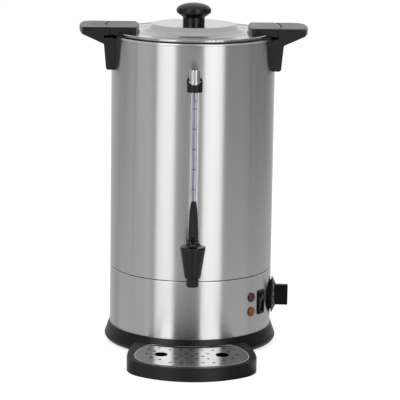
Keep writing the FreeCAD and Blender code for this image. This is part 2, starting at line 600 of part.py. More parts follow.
cap = turned([(TUBE_R + THREAD, cap_z), (cap_r, cap_z), (cap_r, cap_z + CAP_FLANGE_H, 0.8),
              (CAP_R - CAP_NECK, cap_z + CAP_FLANGE_H), (CAP_R - CAP_NECK, cap_z + CAP_FLANGE_H + CAP_NECK_H),
              (CAP_R, cap_z + CAP_FLANGE_H + CAP_NECK_H), (CAP_R, cap_z + CAP_FLANGE_H + CAP_H, CAP_ROUND),
              (0, cap_z + CAP_FLANGE_H + CAP_H), (0, TUBE_TOP_Z + SLIP), (TUBE_R + THREAD, TUBE_TOP_Z + SLIP)],
             0, GAUGE_Y)
parts["gauge_cap"] = cap
upper_seal = ring(cap_r, TUBE_R, CUP_Z + CUP_FLOOR, cap_z, 0, GAUGE_Y)
boss_top = SHANK_Z + GAUGE_BOSS_H
seal_top = boss_top + SEAL_T
lower_seal = ring(GAUGE_BOSS_R, TUBE_R, boss_top, seal_top, 0, GAUGE_Y)
parts["gauge_seals"] = group(upper_seal, lower_seal)
nut_top = seal_top + GAUGE_NUT_CAP
gauge_nut = turned([
    (GAUGE_BOSS_R + THREAD, nut_top - GAUGE_NUT_H), (GAUGE_NUT_R, nut_top - GAUGE_NUT_H), (GAUGE_NUT_R, nut_top, 0.8),
    (TUBE_R + SLIP, nut_top), (TUBE_R + SLIP, seal_top), (GAUGE_BOSS_R + THREAD, seal_top)], 0, GAUGE_Y)
parts["gauge_nut"] = gauge_nut

# Tap: moulded body with spout, shank boss and gauge boss
spout_top = SPOUT_Z + SPOUT_L
tap = turned([(0, SPOUT_Z), (SPOUT_R, SPOUT_Z, 1.4), (SPOUT_R, spout_top),
              (CONE_FOOT_R, spout_top + 1.4, 0.6), (CONE_TOP_R, CONE_TOP_Z - 1.0, 1.0),
              (CONE_TOP_R - 0.4, CONE_TOP_Z), (0, CONE_TOP_Z)], 0, TAP_Y)
flange_y = -(BODY_R + WASHER_T)
tap = tap.fuse(rod_y(BOSS_R, TAP_Y, flange_y, 0, SHANK_Z))
tap = tap.fuse(rod_y(FLANGE_R, flange_y - FLANGE_T, flange_y, 0, SHANK_Z))
tap = tap.fuse(cyl(GAUGE_BOSS_R, SHANK_Z, boss_top, 0, GAUGE_Y))
socket_y = flange_y - FLANGE_T - 3.0
tap = tap.cut(cyl(BARREL_BORE, SEAT_Z, CONE_TOP_Z + 1, 0, TAP_Y))
tap = tap.cut(cyl(SPOUT_BORE, SPOUT_Z - 1, SEAT_Z + 1, 0, TAP_Y))
tap = tap.cut(rod_y(SHANK_BORE, TAP_Y, flange_y + 1, 0, SHANK_Z))
tap = tap.cut(rod_y(SHANK_R + THREAD, socket_y, flange_y + 1, 0, SHANK_Z))
tap = tap.cut(cyl(TUBE_BORE, SHANK_Z, boss_top + 1, 0, GAUGE_Y))
tap = tap.cut(cyl(TUBE_R + THREAD, tube_foot, boss_top + 1, 0, GAUGE_Y))
parts["tap_body"] = tap.removeSplitter()
shank_end = -(INNER_R - SHANK_IN)
parts["tap_shank"] = rod_y(SHANK_R, socket_y, shank_end, 0, SHANK_Z).cut(
    rod_y(SHANK_BORE, socket_y - 1, shank_end + 1, 0, SHANK_Z))
outer = rod_y(FLANGE_R, flange_y, -INNER_R / 2, 0, SHANK_Z).cut(outside)
inner = rod_y(FLANGE_R, -INNER_R, -(INNER_R - 2 * WASHER_T), 0, SHANK_Z).common(inside)
bore = rod_y(SHANK_R, -BODY_R - 9, 0, 0, SHANK_Z)
parts["tap_washers"] = group(outer.cut(bore), inner.cut(bore))
parts["tap_nut"] = nut_out(TAP_NUT_FLATS, TAP_NUT_T, SHANK_R, -(INNER_R - 2 * WASHER_T), SHANK_Z)

# Tap bonnet, stem, seat cup, spring, pin and lever
skirt_z = CONE_TOP_Z - BONNET_SKIRT
parts["tap_bonnet"] = turned([
    (STEM_R + RUN, skirt_z), (BARREL_BORE - THREAD, skirt_z), (BARREL_BORE - THREAD, CONE_TOP_Z),
    (CONE_TOP_R - 0.3, CONE_TOP_Z), (CONE_TOP_R - 0.3, CONE_TOP_Z + 0.9, 0.4),
    (BONNET_HUB_R, CONE_TOP_Z + BONNET_BROW, 2.0), (BONNET_TOP_R, BONNET_TOP_Z, 1.6),
    (STEM_R + RUN, BONNET_TOP_Z)], 0, TAP_Y)
cup_top = SEAT_Z + CUP_SEAT_H
stem = cyl(STEM_R, cup_top - STEM_SOCKET, PIN_Z + STEM_HEAD, 0, TAP_Y)
stem = stem.fuse(cyl(COLLAR_R, cup_top, cup_top + COLLAR_T, 0, TAP_Y))
stem = stem.cut(rod_x(TAP_PIN_R, -STEM_R - 1, STEM_R + 1, TAP_Y, PIN_Z))
parts["tap_stem"] = rounded(stem.removeSplitter(), 0.6, level(PIN_Z + STEM_HEAD))
seat_cup = cyl(CUP_SEAT_R, SEAT_Z, cup_top, 0, TAP_Y)
parts["tap_seat_cup"] = seat_cup.cut(cyl(STEM_R, cup_top - STEM_SOCKET, cup_top + 1, 0, TAP_Y))
parts["tap_spring"] = ring(SPRING_OUT, SPRING_IN, cup_top + COLLAR_T, skirt_z, 0, TAP_Y)
parts["tap_pin"] = rod_x(TAP_PIN_R, -LEVER_W / 2, LEVER_W / 2, TAP_Y, PIN_Z)

cam_y, cam_z = TAP_Y + CAM_Y, PIN_Z + CAM_Z
tip_z = PIN_Z + LEVER_TOP
tip_y = cam_y - LEVER_LEAN
paddle = side_prism([
    (cam_y - LEVER_T / 2, cam_z), (tip_y - LEVER_TIP_T / 2, tip_z, 2.5),
    (tip_y + LEVER_TIP_T / 2, tip_z, 2.5), (cam_y + LEVER_T / 2, cam_z)], -LEVER_W / 2, LEVER_W / 2)
lever = paddle.fuse(rod_x(CAM_R, -LEVER_W / 2, LEVER_W / 2, cam_y, cam_z))
front = front_prism([
    (-LEVER_W / 2, cam_z - 2 * CAM_R), (LEVER_W / 2, cam_z - 2 * CAM_R), (LEVER_W / 2, cam_z + CAM_R),
    (LEVER_BLADE_W / 2, tip_z - LEVER_BLADE_L, 30.0), (LEVER_TIP_W / 2, tip_z, 2.6), (-LEVER_TIP_W / 2, tip_z, 2.6),
    (-LEVER_BLADE_W / 2, tip_z - LEVER_BLADE_L, 30.0), (-LEVER_W / 2, cam_z + CAM_R)],
    tip_y - LEVER_T, cam_y + 2 * LEVER_T)
lever = lever.common(front).removeSplitter()
reach = 2 * CAM_R
room = STEM_R + SLIP
channel = rod_x(STEM_HEAD + 1.4, -room, room, TAP_Y, PIN_Z)
channel = channel.fuse(box(-room, room, TAP_Y - reach, TAP_Y + room, PIN_Z - reach, PIN_Z + room))
lever = lever.cut(channel)
parts["tap_lever"] = lever.cut(rod_x(TAP_PIN_R + RUN, -LEVER_W, LEVER_W, TAP_Y, PIN_Z))

# Handles, built on the +X side and mirrored
leg_foot = RIM_Z - HANDLE_DROP
shoulder = RIM_Z - SHOULDER_DROP
tip_low = RIM_Z - TIP_DROP
grip = front_prism([
    (INNER_R * 0.8, leg_foot), (LEG_FOOT_X, leg_foot, 4.0), (LEG_TOP_X - 0.6, shoulder - 8.0),
    (LEG_TOP_X, shoulder, 2.5), (TIP_X, tip_low, 5.0), (HANDLE_R + 5.0, tip_low + TIP_RISE), (HANDLE_R + 5.0, GRIP_TOP),
    (INNER_R * 0.8, GRIP_TOP)], -HANDLE_HALF, HANDLE_HALF)
plan = cyl(HANDLE_R, leg_foot - 1, GRIP_TOP + 1).common(
    box(0, HANDLE_R + 1, -HANDLE_HALF, HANDLE_HALF, leg_foot - 1, GRIP_TOP + 1))


def outer_corner(side):
    def test(e):
        b = e.BoundBox
        return upright(e) and b.XMin > BODY_R and (b.YMin > 0) == (side > 0)
    return test


plan = rounded(plan, BACK_CORNER, outer_corner(1))
plan = rounded(plan, FRONT_CORNER, lambda e: outer_corner(-1)(e) and abs(e.BoundBox.YMax + HANDLE_HALF) < 0.01)
grip = grip.common(plan)
foot_half = HANDLE_HALF - LEG_FOOT_IN
grip = grip.common(side_prism([
    (-HANDLE_HALF, GRIP_TOP + 1), (-HANDLE_HALF, shoulder), (-foot_half, leg_foot, LEG_CORNER),
    (foot_half, leg_foot, LEG_CORNER), (HANDLE_HALF, shoulder), (HANDLE_HALF, GRIP_TOP + 1)], 0, HANDLE_R + 1))
wall_top = SHELF_Z - 1.5
grip = grip.cut(outside).cut(cyl(RIM_R + SLIP, wall_top, GRIP_TOP + 1))
grip = grip.cut(cyl(LUG_HOUSE_R, SHELF_Z, GRIP_TOP + 1))
grip = rounded(grip, 2.0, lambda e: level(GRIP_TOP)(e) and e.BoundBox.XMax > LUG_HOUSE_R + 10)
pocket_in = LUG_HOUSE_R + SLOT_DEPTH + POCKET_WALL
pocket = box(pocket_in, HANDLE_R, -HANDLE_HALF + POCKET_WALL, HANDLE_HALF - POCKET_WALL,
             leg_foot, GRIP_TOP - POCKET_WALL)
pocket = pocket.common(cyl(HANDLE_R - POCKET_WALL, leg_foot, GRIP_TOP))
pocket = pocket.cut(box(HANDLE_R - BACK_CORNER, HANDLE_R, HANDLE_HALF - BACK_CORNER, HANDLE_HALF, leg_foot, GRIP_TOP))
grip = grip.cut(pocket)
for drop in (SCREW_UP, SCREW_DOWN):
    grip = grip.cut(rod_x(INSERT_R, BODY_R - 1, BODY_R + SCREW_L, 0, RIM_Z - drop))
slot = sector(LUG_HOUSE_R - 1, LUG_HOUSE_R + SLOT_DEPTH, SHELF_Z, SLOT_ROOF, HOOK_FROM - SLOT_STOP, SLOT_TO)
parts["handle_right"] = grip.cut(slot).removeSplitter()
parts["handle_left"] = mirrored(grip).cut(around(slot, 180)).removeSplitter()

# Lid: pressed disc
lid_top = [(0, PLATEAU_Z), (PLATEAU_R, PLATEAU_Z, 3.2), (SLOPE_R, LID_Z + SLOPE_H, 8.0),
           (SKIRT_R, LID_Z + SKIRT_H, 14.0), (FLAT_R, FLAT_Z, 20.0), (LID_EDGE_R - BEAD_W - 0.8, FLAT_Z, 0.7),
           (LID_EDGE_R - BEAD_W, LID_Z + LID_EDGE_H, 0.7), (LID_EDGE_R, LID_Z + LID_EDGE_H, 1.5)]


def under(points, t):
    # the same outline moved in by the sheet thickness
    moved = []
    for i, p in enumerate(points):
        here = V(p[0], p[1], 0)
        turns = []
        for a, b in ((i - 1, i), (i, i + 1)):
            if a < 0:
                a, b = 0, 1
            if b >= len(points):
                turns.append(V(-1, 0, 0))
                continue
            run = V(points[b][0] - points[a][0], points[b][1] - points[a][1], 0).normalize()
            turns.append(V(run.y, -run.x, 0))
        mean = (turns[0] + turns[1]).normalize()
        here = here + mean * (t / mean.dot(turns[0]))
        if len(p) > 2:
            bend = turns[0].cross(turns[1]).z
            moved.append((here.x, here.y, max(p[2] + (t if bend > 0 else -t), 0.1)))
        else:
            moved.append((here.x, here.y))
    return moved


low = under(lid_top, LID_T)
low[0] = (0, PLATEAU_Z - LID_T)
hem = [(LID_EDGE_R, LID_Z), (LID_EDGE_R - HEM_W, LID_Z), (LID_EDGE_R - HEM_W, LID_Z + LID_T),
       (LID_EDGE_R - LID_T, LID_Z + LID_T)]
disc = turned(lid_top + hem + low[::-1])
seat_z = FLAT_Z - LID_T
lug_spots = [(sx * LUG_SCREW_X, sy * LUG_SCREW_Y) for sx in (-1, 1) for sy in (-1, 1)]
lug_screws = []
for x, y in lug_spots:
    disc = disc.cut(cyl(LUG_SCREW_R + HOLE_FIT, LID_Z, GRIP_TOP, x, y))
    head = rounded(cyl(LUG_HEAD_R, seat_z - LUG_HEAD_H, seat_z, x, y), 0.8, level(seat_z - LUG_HEAD_H))
    lug_screws.append(head.fuse(cyl(LUG_SCREW_R, seat_z, FLAT_Z + LUG_SCREW_L, x, y)))
disc = disc.cut(cyl(KNOB_SCREW_R + HOLE_FIT, LID_Z, PLATEAU_Z + 1))
parts["lid_disc"] = disc
parts["lid_lug_screws"] = group(*lug_screws)

# Lid knob and its screw
knob_top = PLATEAU_Z + KNOB_H
brow = knob_top - KNOB_DOME
knob = turned([(0, PLATEAU_Z), (KNOB_NECK_R, PLATEAU_Z), (KNOB_NECK_R, PLATEAU_Z + KNOB_NECK_H, 2.0),
               (KNOB_R, brow - KNOB_CHIN, 3.0), (KNOB_R, brow), (0, brow)])
crown = Part.ArcOfEllipse(Part.Ellipse(ORIGIN, KNOB_R, KNOB_DOME), 0, math.pi / 2).toShape()
crown = Part.Face(Part.Wire([crown, Part.LineSegment(V(0, KNOB_DOME, 0), ORIGIN).toShape(),
                             Part.LineSegment(ORIGIN, V(KNOB_R, 0, 0)).toShape()])).revolve(ORIGIN, NORTH, 360)
crown.rotate(ORIGIN, EAST, 90)
crown.translate(V(0, 0, brow))
knob = knob.fuse(crown).removeSplitter()
parts["lid_knob"] = knob.cut(cyl(KNOB_SCREW_R, PLATEAU_Z - 1, PLATEAU_Z + KNOB_SCREW_L + SLIP))
knob_seat = PLATEAU_Z - LID_T
parts["lid_knob_washer"] = ring(KNOB_WASHER_R, KNOB_SCREW_R + HOLE_FIT, knob_seat - KNOB_WASHER_T, knob_seat)
head_z = knob_seat - KNOB_WASHER_T
head = rounded(cyl(SCREW_HEAD_R, head_z - SCREW_HEAD_H, head_z), 1.0, level(head_z - SCREW_HEAD_H))
parts["lid_knob_screw"] = head.fuse(cyl(KNOB_SCREW_R, head_z, PLATEAU_Z + KNOB_SCREW_L)).removeSplitter()

# Lid lugs with their bayonet hooks
lug_low = SLOT_ROOF + SLIP
lug = cyl(LUG_R, lug_low, GRIP_TOP).common(box(0, LUG_R + 1, -HANDLE_HALF, HANDLE_HALF, lug_low, GRIP_TOP))
bulge_r = (HANDLE_HALF ** 2 + LUG_BULGE ** 2) / (2 * LUG_BULGE)
lug = lug.common(cyl(bulge_r, lug_low, GRIP_TOP, LUG_IN + bulge_r, 0))
lug = rounded(lug, LUG_CORNER, lambda e: upright(e) and e.BoundBox.XMax < BODY_R - 20)
lug = lug.cut(turned(lid_top[:6] + [(LID_EDGE_R - BEAD_W - 0.8, lug_low - 1), (0, lug_low - 1)]))
lug = lug.cut(ring(LID_EDGE_R + SLIP, LID_EDGE_R - BEAD_W - 1.6, lug_low - 1, LID_Z + LID_EDGE_H + SLIP))
lug = rounded(lug, 1.6, level(GRIP_TOP))
hook_low = SHELF_Z + HOOK_FOOT_GAP
web = sector(RIM_R + 0.8, LUG_R, hook_low, lug_low, HOOK_FROM, HOOK_TO)
lip = sector(RIM_R + 0.8, LUG_R + HOOK_REACH, hook_low, SLOT_ROOF - HOOK_TOP_GAP, HOOK_FROM, HOOK_TO)
lug = lug.fuse(web).fuse(lip).removeSplitter()
for x, y in lug_spots:
    if x > 0:
        lug = lug.cut(cyl(LUG_SCREW_R, FLAT_Z - 1, FLAT_Z + LUG_SCREW_L + SLIP, x, y))
parts["lid_lug_right"] = lug
parts["lid_lug_left"] = around(lug, 180)

# Lid seal, lying on the rim
seal_r = INNER_R - SLIP
parts["lid_seal"] = turned([
    (SEAL_IN_R, RIM_Z), (seal_r - SEAL_W, RIM_Z), (seal_r - SEAL_W, RIM_Z - SEAL_DEPTH, 0.8),
    (seal_r, RIM_Z - SEAL_DEPTH, 0.8), (seal_r, RIM_Z), (SEAL_OUT_R, RIM_Z), (SEAL_OUT_R, LID_Z), (SEAL_IN_R, LID_Z)])

# Signal lamps: lens with flange and barrel, neon bulb behind
bulbs = []
for name, z in (("lamp_red", LAMP_HIGH_Z), ("lamp_amber", LAMP_LOW_Z)):
    out = BODY_R + LAMP_FLANGE
    dome_r = (LAMP_LENS_R ** 2 + LAMP_DOME ** 2) / (2 * LAMP_DOME)
    dome = Part.makeSphere(dome_r, V(0, -(out + LAMP_DOME - dome_r), z)).common(
        rod_y(LAMP_LENS_R, -(out + LAMP_DOME + 1), -out, 0, z))
    lens = rod_y(LAMP_R, -out, -BODY_R + 3, 0, z).cut(outside)
    lens = rounded(lens, 0.6, lambda e: abs(e.BoundBox.YMax + out) < 0.01)
    lens = lens.fuse(dome).fuse(rod_y(LAMP_BARREL_R, -out + 0.5, -(BODY_R - LAMP_DEEP), 0, z))
    lens = lens.cut(rod_y(LAMP_BORE, -(BODY_R - 1), -(BODY_R - LAMP_DEEP) + 1, 0, z)).removeSplitter()
    parts[name] = around(lens, LAMP_ANGLE)
    bulbs.append(around(rod_y(BULB_R, -(BODY_R - 2), -(BODY_R - 2 - BULB_L), 0, z), LAMP_ANGLE))
parts["lamp_bulbs"] = group(*bulbs)

# Rocker switch
flange_out = BODY_R + SWITCH_FLANGE
pivot = BODY_R - ROCKER_SINK
housing = block(SWITCH_W, SWITCH_H, -flange_out, -(BODY_R - 3), 0, SWITCH_Z)
housing = rounded(housing, SWITCH_CORNER, lambda e: abs(e.tangentAt(e.FirstParameter).y) > 0.99).cut(outside)
housing = rounded(housing, 0.9, lambda e: abs(e.BoundBox.YMax + flange_out) < 0.01)
housing = housing.fuse(block(SWITCH_BODY_W, SWITCH_BODY_H, -flange_out + 1.2, -(BODY_R - SWITCH_DEEP), 0, SWITCH_Z))
well_h = math.hypot(ROCKER_H / 2, 3.4) + SLIP
housing = housing.cut(block(ROCKER_W + 2 * SLIP, 2 * well_h, -flange_out - 1, -(pivot - 6.0), 0, SWITCH_Z))
housing = housing.cut(rod_x(ROCKER_PIN_R + RUN, -SWITCH_BODY_W / 2 - 0.1, SWITCH_BODY_W / 2 + 0.1, -pivot, SWITCH_Z))
parts["switch_housing"] = around(housing.removeSplitter(), SWITCH_ANGLE)
half_h = ROCKER_H / 2
rocker = side_prism([
    (-pivot - 3.4, SWITCH_Z - half_h, 0.8), (-pivot - 2.2, SWITCH_Z), (-pivot - 3.4, SWITCH_Z + half_h, 0.8),
    (-pivot + 0.5, SWITCH_Z + half_h), (-pivot + 5.0, SWITCH_Z + half_h / 3),
    (-pivot + 5.0, SWITCH_Z - half_h / 3), (-pivot + 0.5, SWITCH_Z - half_h)], -ROCKER_W / 2, ROCKER_W / 2)
rocker = rocker.fuse(rod_x(ROCKER_PIN_R, -SWITCH_BODY_W / 2 + 0.1, SWITCH_BODY_W / 2 - 0.1, -pivot, SWITCH_Z))
rocker.rotate(V(0, -pivot, SWITCH_Z), EAST, ROCKER_TILT)
parts["switch_rocker"] = around(rocker.removeSplitter(), SWITCH_ANGLE)
tabs = []
for x in (-3.2, 3.2):
    for z in (-8.0, 0.0, 8.0):
        tabs.append(around(block(0.8, 4.8, -(BODY_R - SWITCH_DEEP), -(BODY_R - SWITCH_DEEP - 7), x, SWITCH_Z + z),
                           SWITCH_ANGLE))
parts["switch_tabs"] = group(*tabs)

# Thermostat with its nut, shaft, knob and capillary probe
stat_front = BODY_R - STAT_SETBACK
body = block(STAT_W, STAT_W, -stat_front, -(stat_front - STAT_DEEP), 0, DIAL_Z)
body = rounded(body, 1.5, lambda e: abs(e.tangentAt(e.FirstParameter).y) > 0.99)
body = body.fuse(rod_y(2 * BUSH_R, -BODY_R, -stat_front, 0, DIAL_Z).common(inside))
body = body.fuse(rod_y(BUSH_R, -(BODY_R + BUSH_OUT), -stat_front, 0, DIAL_Z))
shaft_in = BODY_R - 12.0
body = body.cut(rod_y(SHAFT_R + RUN, -(BODY_R + BUSH_OUT + 1), -shaft_in + SLIP, 0, DIAL_Z))
parts["thermostat_body"] = around(body.removeSplitter(), DIAL_ANGLE)
stat_nut = nut_out(STAT_NUT_FLATS, STAT_NUT_T + 1, BUSH_R, -(BODY_R + STAT_NUT_T), DIAL_Z).cut(outside)
parts["thermostat_nut"] = around(stat_nut, DIAL_ANGLE)
shaft = rod_y(SHAFT_R, -(shaft_in + SHAFT_L), -shaft_in, 0, DIAL_Z)
parts["thermostat_shaft"] = around(shaft, DIAL_ANGLE)
back = BODY_R + DIAL_GAP
dial = turned_out([
    (0, back + DIAL_HOLLOW_H), (DIAL_HOLLOW_R, back + DIAL_HOLLOW_H), (DIAL_HOLLOW_R, back), (DIAL_R, back, 0.3),
    (DIAL_R, back + DIAL_RIM, 0.3), (DIAL_CONE_R, back + DIAL_RIM + DIAL_CONE_H, 0.8),
    (0, back + DIAL_RIM + DIAL_CONE_H)], DIAL_Z)
grip_bar = block(GRIP_W, GRIP_L, -(back + DIAL_RIM + DIAL_CONE_H + GRIP_H), -(back + DIAL_RIM + DIAL_HOLLOW_H - 1),
                 0, DIAL_Z)
grip_bar = rounded(grip_bar, 1.4, lambda e: abs(e.BoundBox.YMax + back + DIAL_RIM + DIAL_CONE_H + GRIP_H) < 0.01
                   or abs(e.tangentAt(e.FirstParameter).y) > 0.99)
dial = dial.fuse(grip_bar)
dial = dial.cut(rod_y(SHAFT_R, -(shaft_in + SHAFT_L), -BODY_R, 0, DIAL_Z))
parts["thermostat_knob"] = around(dial.removeSplitter(), DIAL_ANGLE)
probe_z = plate_low - BULB_PROBE_R
probe_y = -(MAIN_R + WARM_R) / 2 + 2.0
probe = rod_x(BULB_PROBE_R, -BULB_PROBE_L / 2, BULB_PROBE_L / 2, probe_y, probe_z)
stat_dir = math.radians(DIAL_ANGLE)
stat_back = stat_front - STAT_DEEP
port = V(stat_back * math.sin(stat_dir), -stat_back * math.cos(stat_dir), DIAL_Z - 10)
inward = V(-math.sin(stat_dir), math.cos(stat_dir), 0)
capillary = bent_tube([
    port, port + inward * 12, (BULB_PROBE_L / 2 + 16, probe_y + 10, probe_z - 16),
    (BULB_PROBE_L / 2 + 6, probe_y, probe_z), (BULB_PROBE_L / 2 - 1, probe_y, probe_z)], CAPILLARY_R)
parts["thermostat_bulb"] = probe.fuse(capillary).removeSplitter()

# Power inlet with its blades and screws, at the back
inlet_out = BODY_R + INLET_OUT
inlet = block(INLET_W, INLET_H, -inlet_out, -(BODY_R - 6), 0, INLET_Z).cut(outside)
inlet = rounded(inlet, 3.0, lambda e: abs(e.tangentAt(e.FirstParameter).y) > 0.99 and e.BoundBox.YLength > 0.5)
inlet = inlet.fuse(block(INLET_BODY_W, INLET_BODY_H, -inlet_out + 1, -(BODY_R - INLET_DEEP), 0, INLET_Z))
mouth = block(INLET_MOUTH_W, INLET_MOUTH_H, -inlet_out - 1, -(inlet_out - INLET_MOUTH_DEEP), 0, INLET_Z)
mouth = rounded(mouth, 2.5, lambda e: abs(e.tangentAt(e.FirstParameter).y) > 0.99 and e.BoundBox.ZMin > INLET_Z)
inlet = inlet.cut(mouth)
blades, inlet_screws = [], []
for i in (-1, 0, 1):
    blade = block(BLADE_W, BLADE_H, -(inlet_out - 2.5), -(BODY_R - INLET_DEEP - 7), i * BLADE_PITCH,
                  INLET_Z - 1.0 + (2.0 if i == 0 else 0.0))
    inlet = inlet.cut(blade)
    blades.append(around(blade, 180))
for x in (-INLET_SCREW_X, INLET_SCREW_X):
    shank = rod_y(INLET_SCREW_R, -inlet_out, -(BODY_R - 10), x, INLET_Z)
    inlet = inlet.cut(shank)
    head = rounded(rod_y(2 * INLET_SCREW_R, -inlet_out - 2, -inlet_out, x, INLET_Z), 0.9,
                   lambda e: abs(e.BoundBox.YMax + inlet_out + 2) < 0.01)
    inlet_screws.append(around(head.fuse(shank).removeSplitter(), 180))
parts["power_inlet"] = around(inlet.removeSplitter(), 180)
parts["inlet_pins"] = group(*blades)
parts["inlet_screws"] = group(*inlet_screws)

# Dry-boil cut-out with its reset button, and the terminal block, on the bottom plate
cutout_body = box(CUTOUT_X - CUTOUT_L / 2, CUTOUT_X + CUTOUT_L / 2, CUTOUT_Y - CUTOUT_W / 2, CUTOUT_Y + CUTOUT_W / 2,
                  BOTTOM_Z, BOTTOM_Z + CUTOUT_H)
cutout_body = rounded(cutout_body, 1.5, upright)
parts["cutout_body"] = cutout_body.cut(
    cyl(BUTTON_R + RUN, BOTTOM_Z - 1, BOTTOM_Z + 6 + BUTTON_STROKE, CUTOUT_X, CUTOUT_Y))
button = cyl(BUTTON_R, PLATE_SEAT_Z - BUTTON_OUT, BOTTOM_Z + 6 - SLIP, CUTOUT_X, CUTOUT_Y)
parts["reset_button"] = rounded(button, 0.6, level(PLATE_SEAT_Z - BUTTON_OUT))
terminals = box(-BLOCK_L / 2, BLOCK_L / 2, -BLOCK_W / 2, BLOCK_W / 2, BOTTOM_Z, BOTTOM_Z + BLOCK_H)
for i in (-1, 0, 1):
    terminals = terminals.cut(rod_y(2.2, -BLOCK_W, BLOCK_W, i * BLOCK_L / 3, BOTTOM_Z + 9))
    terminals = terminals.cut(cyl(2.4, BOTTOM_Z + 9, BOTTOM_Z + BLOCK_H + 1, i * BLOCK_L / 3, 0))
parts["terminal_block"] = terminals

# Wires from the inlet blades to the terminal block
wires = []
blade_end = BODY_R - INLET_DEEP - 7
for i in (-1, 0, 1):
    z0 = INLET_Z - 1.0 + (2.0 if i == 0 else 0.0)
    x0, x1 = -i * BLADE_PITCH, -i * BLOCK_L / 3
    wires.append(bent_tube([(x0, blade_end, z0), (x0, blade_end - 14, z0), (x1, 44, BOTTOM_Z + 24),
                            (x1, 28, BOTTOM_Z + 9), (x1, BLOCK_W / 2 - 3, BOTTOM_Z + 9)], WIRE_R))
parts["wiring"] = group(*wires)


# Drip tray and grill
def bowed_plan(inset, z0, z1, front_r, front_y, half, side_r, side_y, back_gap, corner, heel):
    plan_part = cyl(front_r - inset, z0, z1, 0, front_y)
    for side in (-1, 1):
        flank = cyl(side_r - inset, z0, z1, side * (half - side_r), side_y)
        flank.rotate(V(side * (half - side_r), side_y, 0), UP, 90 - 90 * side + 180)
        plan_part = plan_part.common(flank)
    plan_part = plan_part.cut(cyl(RING_R + back_gap + inset, z0 - 1, z1 + 1))
    corners = [e for e in plan_part.Edges if upright(e) and abs(e.CenterOfMass.x) > half / 2]
    plan_part = plan_part.makeFillet(corner - inset, [e for e in corners if e.CenterOfMass.y < side_y])
    corners = [e for e in plan_part.Edges if upright(e) and abs(e.CenterOfMass.x) > half / 2]
    back_y = max(e.CenterOfMass.y for e in corners)
    return plan_part.makeFillet(max(heel - inset, 0.5), [e for e in corners if e.CenterOfMass.y > back_y - 0.01])


def tray_shape(inset, z0, z1):
    return bowed_plan(inset, z0, z1, TRAY_FRONT_R, TRAY_FRONT_Y, TRAY_HALF, TRAY_SIDE_R, TRAY_SIDE_Y,
                      TRAY_BACK_GAP, TRAY_CORNER, TRAY_HEEL)


def grill_shape(inset, z0, z1):
    return bowed_plan(inset, z0, z1, GRILL_FRONT_R, GRILL_FRONT_Y, GRILL_HALF, GRILL_SIDE_R, GRILL_SIDE_Y,
                      TRAY_BACK_GAP + GRILL_BACK_GAP, GRILL_CORNER, GRILL_HEEL)


grill_z = TRAY_H - GRILL_T
tray = tray_shape(0, 0, TRAY_H)
tray = rounded(tray, 1.2, level(TRAY_H))
basin_out = grill_shape(GRILL_SEAT - TRAY_WALL, BASIN_FLOOR_Z - BASIN_FLOOR_T, TRAY_H)
hollow = tray_shape(TRAY_WALL, -1, TRAY_H - TRAY_WALL).cut(basin_out)
tray = tray.cut(hollow)
tray = tray.cut(grill_shape(-GRILL_FIT, grill_z, TRAY_H + 1))
tray = tray.cut(grill_shape(GRILL_SEAT, BASIN_FLOOR_Z, TRAY_H + 1))
tongue = box(-TONGUE_HALF, TONGUE_HALF, -(RING_R + TRAY_BACK_GAP + TRAY_WALL), -(RING_R - TONGUE_REACH), SLIP,
             SLIP + TONGUE_T)
tray = tray.fuse(tongue.cut(basin_out)).removeSplitter()
parts["drip_tray"] = tray
grill = grill_shape(0, grill_z, TRAY_H)
holes = []
for x in (-FINGER_X, FINGER_X):
    hole = box(x - FINGER_R, x + FINGER_R, FINGER_Y - FINGER_REACH, FINGER_Y + FINGER_REACH, 0, TRAY_H + 1)
    for end in (-FINGER_REACH, FINGER_REACH):
        hole = hole.fuse(cyl(FINGER_R, 0, TRAY_H + 1, x, FINGER_Y + end))
    holes.append(hole)
for dy, count in zip(DRIP_ROWS, DRIP_COUNTS):
    for i in range(count):
        holes.append(cyl(DRIP_R, 0, TRAY_H + 1, (i - (count - 1) / 2) * DRIP_PITCH, DRIP_MID_Y + dy))
ring_holes = ((2.0, 32.5), (16.0, 26.0), (8.4, 15.0), (19.5, 2.2), (12.7, -16.3), (1.4, -26.0))
for dx, dy in ring_holes:
    for side in (-1, 1):
        holes.append(cyl(DRIP_R, 0, TRAY_H + 1, side * (FINGER_X + dx), FINGER_Y + dy))
parts["drip_grill"] = grill.cut(group(*holes))

os.makedirs("parts", exist_ok=True)
for name, shape in parts.items():
    bad = [s for s in shape.Solids if not s.isValid() or s.Volume <= 0]
    print(name, len(shape.Solids), round(shape.Volume, 1), "bad" if bad or not shape.Solids else "")
    shape.exportStep("parts/" + name + ".step")
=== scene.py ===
import math

import bmesh
import bpy
from mathutils import Matrix, Vector


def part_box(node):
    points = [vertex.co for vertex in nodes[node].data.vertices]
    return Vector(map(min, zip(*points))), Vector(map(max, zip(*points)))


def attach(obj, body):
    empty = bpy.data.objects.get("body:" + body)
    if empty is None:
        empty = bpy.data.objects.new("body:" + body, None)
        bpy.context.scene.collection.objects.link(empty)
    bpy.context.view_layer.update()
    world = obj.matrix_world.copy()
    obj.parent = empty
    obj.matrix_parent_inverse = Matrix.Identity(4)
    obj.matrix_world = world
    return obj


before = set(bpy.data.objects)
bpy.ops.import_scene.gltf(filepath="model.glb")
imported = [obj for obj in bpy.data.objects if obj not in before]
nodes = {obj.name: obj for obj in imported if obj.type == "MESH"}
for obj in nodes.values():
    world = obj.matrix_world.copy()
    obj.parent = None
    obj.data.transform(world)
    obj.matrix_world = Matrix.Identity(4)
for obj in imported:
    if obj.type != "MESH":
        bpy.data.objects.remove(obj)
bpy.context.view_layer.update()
scene = bpy.context.scene
scene.view_settings.view_transform = "Standard"

MM = 0.001
WALL_RADIUS = 111.0 * MM
SEAM_Z = 104.0 * MM  # joint line between the tank and the base shell
BRIM_Z = 421.2 * MM  # foot of the tank's rolled rim
WHITE = (1.0, 1.0, 1.0, 1.0)


